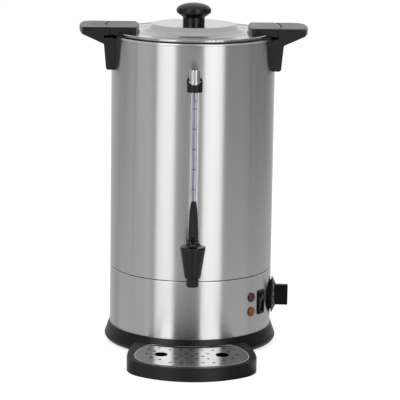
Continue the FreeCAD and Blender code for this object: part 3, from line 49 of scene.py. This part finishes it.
def grey(level):
    return (level, level, level, 1.0)


# Node helpers
def feed(tree, socket, value):
    # a node's output is linked, anything else is set as the socket's own value
    if isinstance(value, bpy.types.NodeSocket):
        tree.links.new(value, socket)
    else:
        socket.default_value = value


def add(tree, kind, inputs=None, **props):
    n = tree.nodes.new(kind)
    for key, value in props.items():
        setattr(n, key, value)
    for key, value in (inputs or {}).items():
        feed(tree, n.inputs[key], value)
    return n


def calc(tree, operation, a, b=0.0, c=0.0):
    return add(tree, "ShaderNodeMath", {0: a, 1: b, 2: c}, operation=operation).outputs[0]


def length(tree, a, b):
    return calc(tree, "SQRT", calc(tree, "ADD", calc(tree, "MULTIPLY", a, a), calc(tree, "MULTIPLY", b, b)))


def ramp(tree, fac, stops):
    # stops are (position, grey or (r, g, b))
    n = tree.nodes.new("ShaderNodeValToRGB")
    elements = n.color_ramp.elements
    while len(elements) < len(stops):
        elements.new(0.5)
    for element, (position, colour) in zip(elements, stops):
        element.position = position
        rgb = colour if isinstance(colour, tuple) else (colour,) * 3
        element.color = (*rgb, 1.0)
    tree.links.new(fac, n.inputs["Fac"])
    return n.outputs["Color"]


def blend(tree, fac, a, b, mode="MIX"):
    return add(tree, "ShaderNodeMixRGB", {0: fac, 1: a, 2: b}, blend_type=mode).outputs[0]


def object_place(tree):
    return tree.nodes.new("ShaderNodeTexCoord").outputs["Object"]


def split(tree, vector):
    return add(tree, "ShaderNodeSeparateXYZ", {"Vector": vector}).outputs


def noise(tree, vector, scale, detail=2.0, rough=0.5):
    return add(tree, "ShaderNodeTexNoise", {"Vector": vector, "Scale": scale, "Detail": detail,
                                            "Roughness": rough}).outputs["Fac"]


def spread(tree, value, low, high):
    # noise, which stays between 0.3 and 0.7, stretched from low to high
    return add(tree, "ShaderNodeMapRange", {"Value": value, "From Min": 0.3, "From Max": 0.7,
                                            "To Min": low, "To Max": high}).outputs["Result"]


def tint(tree, fac, colour, amount):
    # colour that wanders by a share either way
    dark = tuple(c * (1 - amount) for c in colour)
    light = tuple(min(1.0, c * (1 + amount)) for c in colour)
    return ramp(tree, fac, [(0.3, dark), (0.7, light)])


def bump(tree, height, strength, distance, **more):
    return add(tree, "ShaderNodeBump", {"Height": height, "Strength": strength, "Distance": distance * MM,
                                        **more}).outputs[0]


SOCKETS = {"color": "Base Color", "rough": "Roughness", "metal": "Metallic", "normal": "Normal",
           "aniso": "Anisotropic", "turn": "Anisotropic Rotation", "tangent": "Tangent", "ior": "IOR",
           "glass": "Transmission Weight", "spec": "Specular IOR Level", "sss": "Subsurface Weight",
           "sss_radius": "Subsurface Radius", "sss_scale": "Subsurface Scale"}


def start(name):
    m = bpy.data.materials.new(name)
    m.use_nodes = True
    tree = m.node_tree
    tree.nodes.clear()
    out = tree.nodes.new("ShaderNodeOutputMaterial")
    shader = tree.nodes.new("ShaderNodeBsdfPrincipled")
    tree.links.new(shader.outputs[0], out.inputs[0])
    return m, tree, shader


def put(tree, shader, **values):
    for key, value in values.items():
        feed(tree, shader.inputs[SOCKETS[key]], value)


# Materials
SEAM_HIGHLIGHT = ((-1.28, 0.0), (-1.12, 1.0), (-0.48, 1.0), (-0.32, 0.0))  # painted highlight: a bright band below a joint line, in mm
SEAM_SHADE = ((0.35, 0.0), (0.75, 1.0))  # painted shade in a joint line's groove, by the distance from its middle in mm
# painted highlight: a brighter metal colour for the band below a joint line and for the rolled rim
PAINTED_HIGHLIGHT = grey(0.95)


def round_steel(name, colour, rough, aniso, line, crease=None, brim=None):
    # sheet brushed or spun round the vertical axis, with line scratches per metre; crease is the height
    # of a joint line, which gets painted shade in its groove and a painted highlight just below it; brim the height
    # above which the rolled rim gets a painted highlight, a brighter metal colour
    m, tree, shader = start(name)
    place = object_place(tree)
    xyz = split(tree, place)
    angle = calc(tree, "ARCTAN2", xyz["Y"], xyz["X"])
    across = calc(tree, "ADD", xyz["Z"], length(tree, xyz["X"], xyz["Y"]))
    lines = add(tree, "ShaderNodeCombineXYZ", {"X": calc(tree, "MULTIPLY", angle, 1.5), "Y": 0.0,
                                               "Z": calc(tree, "MULTIPLY", across, line)}).outputs[0]
    streak = noise(tree, lines, 1.0, 4.0, 0.65)
    cloud = noise(tree, place, 14.0, 3.0)
    shade = tint(tree, streak, colour, 0.006)
    if crease is not None:
        off = calc(tree, "MULTIPLY", calc(tree, "SUBTRACT", xyz["Z"], crease), 1 / MM)
        # painted highlight: a thin band just below the joint line gets the brighter metal colour
        seam_highlight = ramp(tree, calc(tree, "MULTIPLY_ADD", off, 0.25, 0.5), [(0.5 + 0.25 * at, v) for at, v in SEAM_HIGHLIGHT])
        shade = blend(tree, seam_highlight, shade, PAINTED_HIGHLIGHT)
        # painted shade: the joint line's groove is darkened to a near-black metal colour
        shade = blend(tree, ramp(tree, calc(tree, "ABSOLUTE", off), SEAM_SHADE), grey(0.03), shade)
    if brim is not None:
        # painted highlight: the rolled rim above brim gets the brighter metal colour
        shade = blend(tree, calc(tree, "GREATER_THAN", xyz["Z"], brim), shade, PAINTED_HIGHLIGHT)
    fine = calc(tree, "ADD", spread(tree, streak, rough - 0.004, rough + 0.004), spread(tree, cloud, -0.01, 0.01))
    put(tree, shader, metal=1.0, aniso=aniso, turn=0.25, color=shade, rough=fine,
        normal=bump(tree, streak, 0.0012, 0.1),
        tangent=add(tree, "ShaderNodeTangent", direction_type="RADIAL", axis="Z").outputs[0])
    return m


def flat_steel(name, colour, rough, aniso, line, middle, outline):
    # flat sheet brushed along X, with a dull rolled edge; the walls of its holes and its sides get painted
    # shade, a near-black colour. outline is the distance in mm from the middle (a place on Y) to the sheet's
    # edge, by the angle from -Y. The ramp holds it in units of 100 mm
    m, tree, shader = start(name)
    place = object_place(tree)
    xyz = split(tree, place)
    dy = calc(tree, "SUBTRACT", middle, xyz["Y"])
    angle = calc(tree, "ABSOLUTE", calc(tree, "ARCTAN2", xyz["X"], dy))
    reach = ramp(tree, calc(tree, "MULTIPLY", angle, 1 / math.pi), [(a / 180, r / 100) for a, r in outline])
    inward = calc(tree, "SUBTRACT", reach, calc(tree, "MULTIPLY", length(tree, xyz["X"], dy), 10.0))
    # the rolled edge is 1 mm wide and fades by 1.5 mm
    border = ramp(tree, calc(tree, "MULTIPLY", inward, 10.0), [(0.10, 1.0), (0.15, 0.0)])
    lines = add(tree, "ShaderNodeMapping", {"Vector": place, "Scale": (12.0, line, line)}).outputs[0]
    streak = noise(tree, lines, 1.0, 3.0, 0.6)
    cloud = noise(tree, place, 20.0, 3.0)
    facing = split(tree, tree.nodes.new("ShaderNodeNewGeometry").outputs["True Normal"])
    level = calc(tree, "GREATER_THAN", calc(tree, "ABSOLUTE", facing["Z"]), 0.5)
    dull = calc(tree, "MAXIMUM", border, calc(tree, "SUBTRACT", 1.0, level))
    shade = blend(tree, border, tint(tree, cloud, colour, 0.02), grey(0.34))
    # painted shade: faces that don't lie flat, the hole walls and sheet sides, get a near-black colour
    shade = blend(tree, calc(tree, "MAXIMUM", level, border), grey(0.01), shade)
    fine = calc(tree, "ADD", spread(tree, streak, rough * 0.9, rough * 1.1), spread(tree, cloud, -0.01, 0.01))
    put(tree, shader, metal=calc(tree, "SUBTRACT", 1.0, dull), color=shade, aniso=aniso,
        normal=bump(tree, streak, 0.02, 0.1),
        rough=add(tree, "ShaderNodeMapRange", {"Value": dull, "To Min": fine, "To Max": 0.6}).outputs["Result"],
        tangent=add(tree, "ShaderNodeCombineXYZ", {"X": 0.0, "Y": 1.0, "Z": 0.0}).outputs[0])
    return m


def metal(name, colour, rough, grain=600.0, vary=0.06, dents=0.04):
    m, tree, shader = start(name)
    place = object_place(tree)
    fine = noise(tree, place, grain, 3.0)
    put(tree, shader, metal=1.0, color=tint(tree, noise(tree, place, 35.0), colour, vary),
        normal=bump(tree, fine, dents, 0.2), rough=spread(tree, fine, rough * 0.8, rough * 1.25))
    return m


def plastic(name, colour, rough, grain=1400.0, dents=0.12, vary=0.12, spec=0.5):
    # moulded, with edges that look rounded by 0.4 mm
    m, tree, shader = start(name)
    place = object_place(tree)
    fine = noise(tree, place, grain)
    cloud = noise(tree, place, 22.0, 3.0)
    soft = add(tree, "ShaderNodeBevel", {"Radius": 0.4 * MM}, samples=4).outputs[0]
    put(tree, shader, color=tint(tree, cloud, colour, vary), spec=spec,
        normal=bump(tree, fine, dents, 0.1, Normal=soft),
        rough=calc(tree, "ADD", spread(tree, cloud, rough - 0.03, rough + 0.04), spread(tree, fine, -0.02, 0.02)))
    return m


def lens(name, colour, deep, node):
    # coloured lens in a dark bezel, told apart by the distance from the lamp's own axis
    m, tree, shader = start(name)
    place = object_place(tree)
    low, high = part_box(node)
    mid = (Vector(low) + Vector(high)) / 2
    across = Vector((-mid.y, mid.x, 0)).normalized()
    side = add(tree, "ShaderNodeVectorMath", {0: place, 1: tuple(across)}, operation="DOT_PRODUCT").outputs["Value"]
    rise = calc(tree, "SUBTRACT", split(tree, place)["Z"], mid.z)
    rim = calc(tree, "MULTIPLY", length(tree, side, rise), 1 / ((high.z - low.z) / 2))
    facets = add(tree, "ShaderNodeTexVoronoi", {"Vector": place, "Scale": 650.0}).outputs["Distance"]
    bezel = (*[c * 0.25 for c in colour], 1)
    shade = blend(tree, ramp(tree, rim, [(0.86, 1.0), (0.97, 0.0)]), bezel,
                  tint(tree, noise(tree, place, 120.0), colour, 0.15))
    put(tree, shader, color=shade, rough=0.2, spec=0.5, normal=bump(tree, facets, 0.15, 0.3), sss=0.15,
        sss_radius=deep, sss_scale=1.0 * MM)
    return m


def tube_glass():
    # clear outside, with a tinted bore
    m, tree, shader = start("gauge_glass")
    place = object_place(tree)
    xyz = split(tree, place)
    low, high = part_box("gauge_tube")
    dy = calc(tree, "SUBTRACT", xyz["Y"], (low.y + high.y) / 2)
    inner = calc(tree, "LESS_THAN", length(tree, xyz["X"], dy), 4.5 * MM)
    colour = add(tree, "ShaderNodeMix", {"Factor": inner, "A": (0.99, 0.995, 1.0, 1), "B": (0.60, 0.58, 0.71, 1)},
                 data_type="RGBA").outputs["Result"]
    put(tree, shader, color=colour, rough=spread(tree, noise(tree, place, 60.0, 3.0), 0.0, 0.03), glass=1.0, ior=1.47)
    return m


def clear_glass(name):
    m, tree, shader = start(name)
    put(tree, shader, color=(0.98, 0.95, 0.9, 1), glass=0.9, ior=1.47,
        rough=spread(tree, noise(tree, object_place(tree), 200.0), 0.02, 0.08))
    return m


def silicone(name, colour, rough=0.56):
    m, tree, shader = start(name)
    place = object_place(tree)
    fine = noise(tree, place, 900.0)
    put(tree, shader, color=tint(tree, noise(tree, place, 30.0), colour, 0.06), normal=bump(tree, fine, 0.1, 0.1),
        rough=spread(tree, fine, rough - 0.06, rough + 0.06))
    return m


def painted(name, colour):
    m, tree, shader = start(name)
    place = object_place(tree)
    put(tree, shader, color=tint(tree, noise(tree, place, 700.0), colour, 0.08),
        rough=spread(tree, noise(tree, place, 1500.0), 0.40, 0.50))
    return m


GRILL_MIDDLE_Y = -167.0 * MM
GRILL_EDGE = ((0, 56.5), (12, 57.18), (24, 59.26), (36, 62.87), (48, 68.16), (60, 72.82), (72, 75.43), (84, 75.81),
              (96, 75.44), (108, 75.44), (120, 75.81), (132, 76.54), (144, 60.16), (156, 49.42), (168, 44.83),
              (180, 43.5))  # degrees from the front, mm

body_steel = round_steel("body_steel", (0.66, 0.66, 0.66), 0.28, 1.0, 1500.0, SEAM_Z, BRIM_Z)
lid_steel = round_steel("lid_steel", (0.54, 0.54, 0.54), 0.14, 0.4, 900.0)
grill_steel = flat_steel("grill_steel", (0.62, 0.62, 0.62), 0.06, 0.7, 900.0, GRILL_MIDDLE_Y, GRILL_EDGE)
black_satin = plastic("black_satin", (0.008, 0.008, 0.0085), 0.30, dents=0.06, spec=0.44)
black_matte = plastic("black_matte", (0.004, 0.004, 0.0044), 0.32, dents=0.06, spec=0.36)
black_gloss = plastic("black_gloss", (0.003, 0.003, 0.0033), 0.16, dents=0.03, spec=0.42)
black_knob = plastic("black_knob", (0.003, 0.003, 0.0033), 0.25, dents=0.04, spec=0.46)
black_dull = plastic("black_dull", (0.003, 0.003, 0.0033), 0.24, dents=0.04, spec=0.16)
grey_plastic = plastic("grey_plastic", (0.16, 0.16, 0.165), 0.5)
reset_red = plastic("reset_red", (0.55, 0.04, 0.035), 0.35)
ceramic = plastic("ceramic", (0.8, 0.78, 0.72), 0.25, grain=300.0, dents=0.05, vary=0.04)
seal_black = silicone("seal_black", (0.003, 0.003, 0.003), 0.8)
silicone_clear = silicone("silicone", (0.72, 0.71, 0.68))
foot_rubber = silicone("foot_rubber", (0.03, 0.03, 0.03))
wire_cover = silicone("wire_cover", (0.4, 0.05, 0.04))
chrome = metal("chrome", (0.66, 0.66, 0.67), 0.04, dents=0.005, vary=0.02)
bright_steel = metal("bright_steel", (0.6, 0.6, 0.61), 0.25)
brass = metal("brass", (0.72, 0.55, 0.25), 0.3)
element_steel = metal("element_steel", (0.3, 0.28, 0.26), 0.4, vary=0.2)
heater_cast = metal("heater_cast", (0.62, 0.62, 0.63), 0.45, grain=250.0, dents=0.2)
zinc_sheet = metal("zinc_sheet", (0.58, 0.59, 0.6), 0.4, grain=90.0, vary=0.14, dents=0.03)

wear = {
    body_steel: ("tank", "base_shell"),
    lid_steel: ("lid_disc",),
    grill_steel: ("drip_grill",),
    black_satin: ("tap_lever", "handle_left", "handle_right", "lid_lug_left", "lid_lug_right"),
    black_matte: ("base_ring", "drip_tray", "tap_body", "gauge_holder", "gauge_nut"),
    black_gloss: ("tap_bonnet", "tap_stem", "power_inlet"),
    black_knob: ("lid_knob",),
    black_dull: ("thermostat_knob", "switch_housing", "switch_rocker"),
    grey_plastic: ("thermostat_body", "cutout_body", "tap_nut", "tap_shank"),
    reset_red: ("reset_button",),
    lens("red_lens", (0.075, 0.006, 0.014), (1.0, 0.2, 0.1), "lamp_red"): ("lamp_red",),
    lens("amber_lens", (0.21, 0.068, 0.005), (1.0, 0.5, 0.1), "lamp_amber"): ("lamp_amber",),
    ceramic: ("terminal_block",),
    seal_black: ("lid_seal",),
    silicone_clear: ("gauge_seals", "tap_washers", "tap_seat_cup", "wall_washers"),
    foot_rubber: ("rubber_feet",),
    wire_cover: ("wiring",),
    tube_glass(): ("gauge_tube",),
    clear_glass("bulb_glass"): ("lamp_bulbs",),
    chrome: ("gauge_cap",),
    bright_steel: ("wall_screws", "lid_lug_screws", "lid_knob_screw", "lid_knob_washer", "tap_pin",
                   "tap_spring", "thermostat_shaft", "thermostat_nut", "thermostat_bulb", "floor_studs",
                   "stud_nuts", "inlet_screws", "clamp_bar"),
    brass: ("wall_inserts", "inlet_pins", "switch_tabs"),
    element_steel: ("main_element", "keep_warm_element"),
    heater_cast: ("heater_plate",),
    zinc_sheet: ("bottom_plate",),
}
for material, names in wear.items():
    for name in names:
        o = nodes[name]
        o.data.materials.clear()
        o.data.materials.append(material)
bare = [n for n in nodes if n not in {x for names in wear.values() for x in names}]
if bare:
    raise SystemExit("no material for " + ", ".join(bare))

white_print = painted("white_print", (0.26, 0.26, 0.26))
grey_print = painted("grey_print", (0.10, 0.095, 0.14))


# Print and trim
def piece(name, verts, faces, material, body):
    mesh = bpy.data.meshes.new(name)
    mesh.from_pydata([tuple(v) for v in verts], [], faces)
    mesh.validate()
    mesh.materials.append(material)
    o = bpy.data.objects.new(name, mesh)
    scene.collection.objects.link(o)
    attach(o, body)


def strip(name, sections, material, body, ring=False):
    # a solid strip through four-cornered sections; ring joins the last section to the first
    count = len(sections)
    faces = []
    for k in range(count if ring else count - 1):
        a, b = 4 * k, 4 * ((k + 1) % count)
        faces += [(a, a + 2, b + 2, b), (a + 1, b + 1, b + 3, a + 3),
                  (a, b, b + 1, a + 1), (a + 2, a + 3, b + 3, b + 2)]
    if not ring:
        last = 4 * (count - 1)
        faces += [(0, 1, 3, 2), (last, last + 2, last + 3, last + 1)]
    piece(name, [corner for section in sections for corner in section], faces, material, body)


def lettering(words, size, thick):
    # the vertices and faces of a short raised text, centred
    curve = bpy.data.curves.new("words", "FONT")
    curve.body = words
    curve.size = size
    curve.extrude = thick / 2
    curve.align_x, curve.align_y = "CENTER", "CENTER"
    curve.resolution_u = 3
    o = bpy.data.objects.new("words", curve)
    scene.collection.objects.link(o)
    bpy.context.view_layer.update()
    mesh = bpy.data.meshes.new_from_object(o.evaluated_get(bpy.context.evaluated_depsgraph_get()))
    verts = [v.co.copy() for v in mesh.vertices]
    faces = [tuple(p.vertices) for p in mesh.polygons]
    bpy.data.objects.remove(o)
    bpy.data.meshes.remove(mesh)
    return verts, faces


# The thermostat knob: numbers, dashes and index line on its cone. CONE gives the cone's outer and inner
# circle as (radius, distance from the urn's axis)
DIAL_ANGLE, DIAL_Z = math.radians(85.0), 64.2 * MM
CONE = ((25.0 * MM, 113.4 * MM), (14.9 * MM, 118.5 * MM))
SLOPE = (CONE[1][1] - CONE[0][1]) / (CONE[0][0] - CONE[1][0])
FLAT = math.cos(math.atan(SLOPE))
out_way = Vector((math.sin(DIAL_ANGLE), -math.cos(DIAL_ANGLE), 0))
side_way = Vector((math.cos(DIAL_ANGLE), math.sin(DIAL_ANGLE), 0))
FIRST_NUMBER, STEP = 45.0, 30.0  # degrees clockwise from the bottom
NUMBER_RADIUS, NUMBER_SIZE = 19.8 * MM, 6.4 * MM
DASH_RADII = (19.5 * MM, 23.5 * MM)


def on_cone(clock, rho, raise_by):
    c = math.radians(clock)
    height = CONE[0][1] + (CONE[0][0] - rho) * SLOPE
    ray = -math.cos(c) * Vector((0, 0, 1)) - math.sin(c) * side_way
    return ray * rho + out_way * (height + raise_by) + Vector((0, 0, DIAL_Z))


def line_section(clock, rho, half, above):
    # across a printed line: its two sides, above the cone and 0.05 mm in it
    turns = [clock + math.degrees(side * half / rho) for side in (-1, 1)]
    return [on_cone(turn_by, rho, lift) for turn_by in turns for lift in (above, -0.05 * MM)]


for i, number in enumerate(("30", "40", "50", "60", "70", "80", "90", "100", "110")):
    clock = FIRST_NUMBER + STEP * i
    verts, faces = lettering(number, NUMBER_SIZE, 0.10 * MM)
    moved = [on_cone(clock + math.degrees(v.x / NUMBER_RADIUS), NUMBER_RADIUS + v.y * FLAT, v.z + 0.03 * MM)
             for v in verts]
    piece("dial_number_" + number, moved, faces, white_print, "dial")
for i in range(8):
    clock = FIRST_NUMBER + STEP * (i + 0.5)
    strip("dial_dash_%d" % i, [line_section(clock, rho, 0.4 * MM, 0.08 * MM) for rho in DASH_RADII],
          white_print, "dial")
strip("dial_index", [line_section(0.0, (15.8 + 0.9 * k) * MM, 0.45 * MM, 0.07 * MM) for k in range(9)],
      white_print, "dial")

# Black ring between the knob's skirt and the round wall, put there as painted shade: it stands for the shadow behind
# the skirt
SHADE_RING_STEPS, SHADE_RING_RADII, SHADE_RING_FACE = 64, (9.0 * MM, 20.5 * MM), 112.3 * MM
sections = []
for k in range(SHADE_RING_STEPS):
    a = 2 * math.pi * k / SHADE_RING_STEPS
    section = []
    for r in SHADE_RING_RADII:
        t = r * math.sin(a)
        at = side_way * t + Vector((0, 0, DIAL_Z + r * math.cos(a)))
        section += [at + out_way * (math.sqrt(WALL_RADIUS ** 2 - t * t) + 0.05 * MM), at + out_way * SHADE_RING_FACE]
    sections.append(section)
strip("dial_shade_ring", sections, seal_black, "urn", ring=True)

# Level marks on the gauge tube: height in mm and half the angle that each goes round the tube
LEVELS = ((233.2, 24), (260.0, 24), (286.8, 24), (313.6, 24), (340.5, 24), (351.3, 16))
MARK_STEPS, MARK_HALF = 8, 0.75 * MM
low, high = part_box("gauge_tube")
tube_y, tube_r = (low.y + high.y) / 2, (high.x - low.x) / 2
for k, (z, half) in enumerate(LEVELS):
    angles = [math.radians(-half + 2 * half * step / MARK_STEPS) for step in range(MARK_STEPS + 1)]
    sections = [[(r * math.sin(a), tube_y - r * math.cos(a), z * MM + dz)
                 for dz in (-MARK_HALF, MARK_HALF) for r in (tube_r + 0.01 * MM, tube_r + 0.06 * MM)] for a in angles]
    strip("level_mark_%d" % k, sections, grey_print, "urn")

# Camera: a spot and a way of looking from the front, turned by TURN round the urn
TURN = math.radians(1.1)
PITCH, YAW, ROLL = math.radians(11.2395), math.radians(0.228), math.radians(0.8271)
SPOT = Vector((0.0, -2.9953, 0.7889))
FOCAL, WIDTH, SENSOR = 2219.8, 400, 36.0  # focal length and picture width in pixels, sensor in mm
ahead = Vector((math.sin(YAW) * math.cos(PITCH), math.cos(YAW) * math.cos(PITCH), -math.sin(PITCH)))
right = Vector((math.cos(YAW), -math.sin(YAW), 0))
up = right.cross(ahead)
rolled_right = right * math.cos(ROLL) + up * math.sin(ROLL)
rolled_up = up * math.cos(ROLL) - right * math.sin(ROLL)
back = Matrix.Rotation(-TURN, 3, "Z")
axes = [back @ rolled_right, back @ rolled_up, -(back @ ahead)]
spot = back @ SPOT
cam = bpy.data.cameras.new("camera")
cam.sensor_fit = "HORIZONTAL"
cam.sensor_width = SENSOR
cam.lens = FOCAL / WIDTH * SENSOR
cam.clip_start, cam.clip_end = 0.1, 50.0
camera = bpy.data.objects.new("camera", cam)
scene.collection.objects.link(camera)
camera.matrix_world = Matrix([[axes[c][r] for c in range(3)] + [spot[r]] for r in range(3)] + [[0, 0, 0, 1]])
scene.camera = camera

# Studio: white surroundings, with soft boxes and grey flags that the steel mirrors
world = bpy.data.worlds.new("studio")
scene.world = world
world.cycles.sampling_method = "NONE"
world.use_nodes = True
sky = world.node_tree
sky.nodes.clear()
way = split(sky, sky.nodes.new("ShaderNodeTexCoord").outputs["Generated"])
turn = calc(sky, "ARCTAN2", way["X"], calc(sky, "MULTIPLY", way["Y"], -1.0))
turn = calc(sky, "MULTIPLY_ADD", turn, 1 / (2 * math.pi), 0.5)


def bands(*stops):
    # brightness by the way in degrees: 0 is the camera's side, 90 the right
    return ramp(sky, turn, [(0.5 + a / 360, v) for a, v in stops])


def between(low, high, first=0.0, last=1.0):
    # soft step by how steeply a way rises, from first below low to last above high
    return add(sky, "ShaderNodeMapRange", {"Value": way["Z"], "From Min": low, "From Max": high,
                                           "To Min": first, "To Max": last},
               interpolation_type="SMOOTHSTEP").outputs["Result"]


# rings of the surroundings, from the lowest to the highest
low_ring = bands(
    (-180, 0.70), (-152, 0.50), (-138, 0.42), (-122, 0.35), (-113, 0.34), (-110, 0.27), (-107, 0.36), (-97, 0.46),
    (-74, 0.70), (-63, 0.68), (-54, 0.46), (-51, 0.92), (-38, 1.12), (-27, 1.05), (-24.5, 0.62), (-10, 0.55),
    (13, 0.55), (16, 1.10), (29, 1.24), (42, 1.03), (44.5, 0.29), (52, 0.27), (72, 0.29), (88, 0.26), (108, 0.20),
    (124, 0.19), (148, 0.38), (165, 0.62), (180, 0.70))
seams = bands(
    (-93, 1.0), (-91, 0.62), (-88, 0.62), (-86, 1.0), (86, 1.0), (88, 0.6), (90, 0.6), (92, 1.0), (100, 1.0),
    (101.5, 0.6), (103, 0.6), (105, 1.0))
high_ring = bands(
    (-180, 0.90), (-165, 0.88), (-150, 0.6), (-118, 0.35), (-80, 0.36), (-54, 0.18), (-51, 2.2), (-27, 2.2),
    (-24.5, 0.05), (0, 0.03), (13, 0.04), (16, 2.2), (42, 2.2), (44.5, 0.07), (80, 0.12), (124, 0.22), (150, 0.6),
    (165, 0.88), (180, 0.90))
top_ring = bands(
    (-180, 0.72), (-100, 0.72), (-54, 0.66), (-51, 1.7), (-27, 1.7), (-24.5, 0.6), (13, 0.6), (16, 1.7), (42, 1.7),
    (44.5, 0.60), (100, 0.66), (180, 0.72))
behind = bands((-180, 1.0), (-130, 1.0), (-100, 0.0), (100, 0.0), (130, 1.0), (180, 1.0))
mirrored = blend(sky, between(-0.02, 0.10), blend(sky, 1.0, low_ring, seams, "MULTIPLY"), high_ring)
mirrored = blend(sky, blend(sky, 1.0, between(0.2, 0.3), behind, "MULTIPLY"), mirrored, grey(0.72))
mirrored = blend(sky, between(0.56, 0.72), mirrored, top_ring)
mirrored = blend(sky, between(0.90, 0.96), mirrored, grey(0.66))
mirrored = blend(sky, between(-0.75, -0.55, 1.0, 0.0), mirrored, grey(0.3))
path = sky.nodes.new("ShaderNodeLightPath").outputs
seen = blend(sky, path["Is Glossy Ray"], grey(0.62), mirrored)
seen = blend(sky, calc(sky, "MAXIMUM", path["Is Camera Ray"], path["Is Transmission Ray"]), seen, WHITE)
background = add(sky, "ShaderNodeBackground", {"Color": seen, "Strength": 1.0})
sky.links.new(background.outputs[0], sky.nodes.new("ShaderNodeOutputWorld").inputs[0])


def lamp(name, place, aim, size, power):
    data = bpy.data.lights.new(name, "AREA")
    data.shape = "RECTANGLE"
    data.size, data.size_y = size
    data.energy = power
    o = bpy.data.objects.new(name, data)
    scene.collection.objects.link(o)
    o.location = place
    o.rotation_euler = (Vector(aim) - Vector(place)).to_track_quat("-Z", "Y").to_euler()
    o.visible_glossy = o.visible_camera = False


lamp("key", (-1.5, -2.0, 1.9), (0, 0, 0.2), (1.0, 1.4), 26)
lamp("fill", (1.7, -1.8, 1.3), (0, 0, 0.2), (1.0, 1.4), 16)
lamp("overhead", (0, 0.3, 2.4), (0, 0, 0.1), (1.6, 1.6), 14)

# Floor: white to the camera, and clear from below
mesh = bpy.data.meshes.new("floor")
bm = bmesh.new()
bmesh.ops.create_grid(bm, x_segments=8, y_segments=8, size=6.0)
bm.to_mesh(mesh)
bm.free()
floor = bpy.data.objects.new("floor", mesh)
scene.collection.objects.link(floor)
floor.location = (0, 0, -0.2 * MM)
floor.visible_glossy = False
m, tree, shader = start("floor_white")
put(tree, shader, color=grey(0.5), rough=0.9, spec=0.1)
shine = calc(tree, "MULTIPLY", tree.nodes.new("ShaderNodeLightPath").outputs["Is Camera Ray"], 0.68)
glow = add(tree, "ShaderNodeEmission", {"Color": WHITE, "Strength": shine}).outputs[0]
both = add(tree, "ShaderNodeAddShader", {0: shader.outputs[0], 1: glow}).outputs[0]
below = tree.nodes.new("ShaderNodeNewGeometry").outputs["Backfacing"]
clear = tree.nodes.new("ShaderNodeBsdfTransparent").outputs[0]
mix = add(tree, "ShaderNodeMixShader", {0: below, 1: both, 2: clear}).outputs[0]
for n in tree.nodes:
    if n.type == "OUTPUT_MATERIAL":
        tree.links.new(mix, n.inputs[0])
mesh.materials.append(m)

# The table as the steel mirrors it: light cards beside the urn, so that the walls get lighter downwards.
# first and last are the ways in degrees that the wall mirrors, seen from the front
CARD_STEPS, CARD_REACH = 16, 1.1


def card(name, first, last, level):
    mesh = bpy.data.meshes.new(name)
    ways = [math.radians(first + (last - first) * k / CARD_STEPS) for k in range(CARD_STEPS + 1)]
    verts = [(WALL_RADIUS * math.sin(a / 2) + d * math.sin(a), -WALL_RADIUS * math.cos(a / 2) - d * math.cos(a),
              -0.1 * MM) for a in ways for d in (0.0, CARD_REACH)]
    mesh.from_pydata(verts, [], [(2 * k, 2 * k + 1, 2 * k + 3, 2 * k + 2) for k in range(CARD_STEPS)])
    o = bpy.data.objects.new(name, mesh)
    scene.collection.objects.link(o)
    o.visible_camera = o.visible_diffuse = o.visible_shadow = o.visible_transmission = False
    m = bpy.data.materials.new(name)
    m.use_nodes = True
    tree = m.node_tree
    tree.nodes.clear()
    glow = add(tree, "ShaderNodeEmission", {"Color": WHITE, "Strength": level}).outputs[0]
    tree.links.new(glow, tree.nodes.new("ShaderNodeOutputMaterial").inputs[0])
    mesh.materials.append(m)


card("card_right", 42.0, 90.0, 0.62)
card("card_side", 90.0, 150.0, 0.52)
card("card_left", -125.0, -70.0, 0.55)
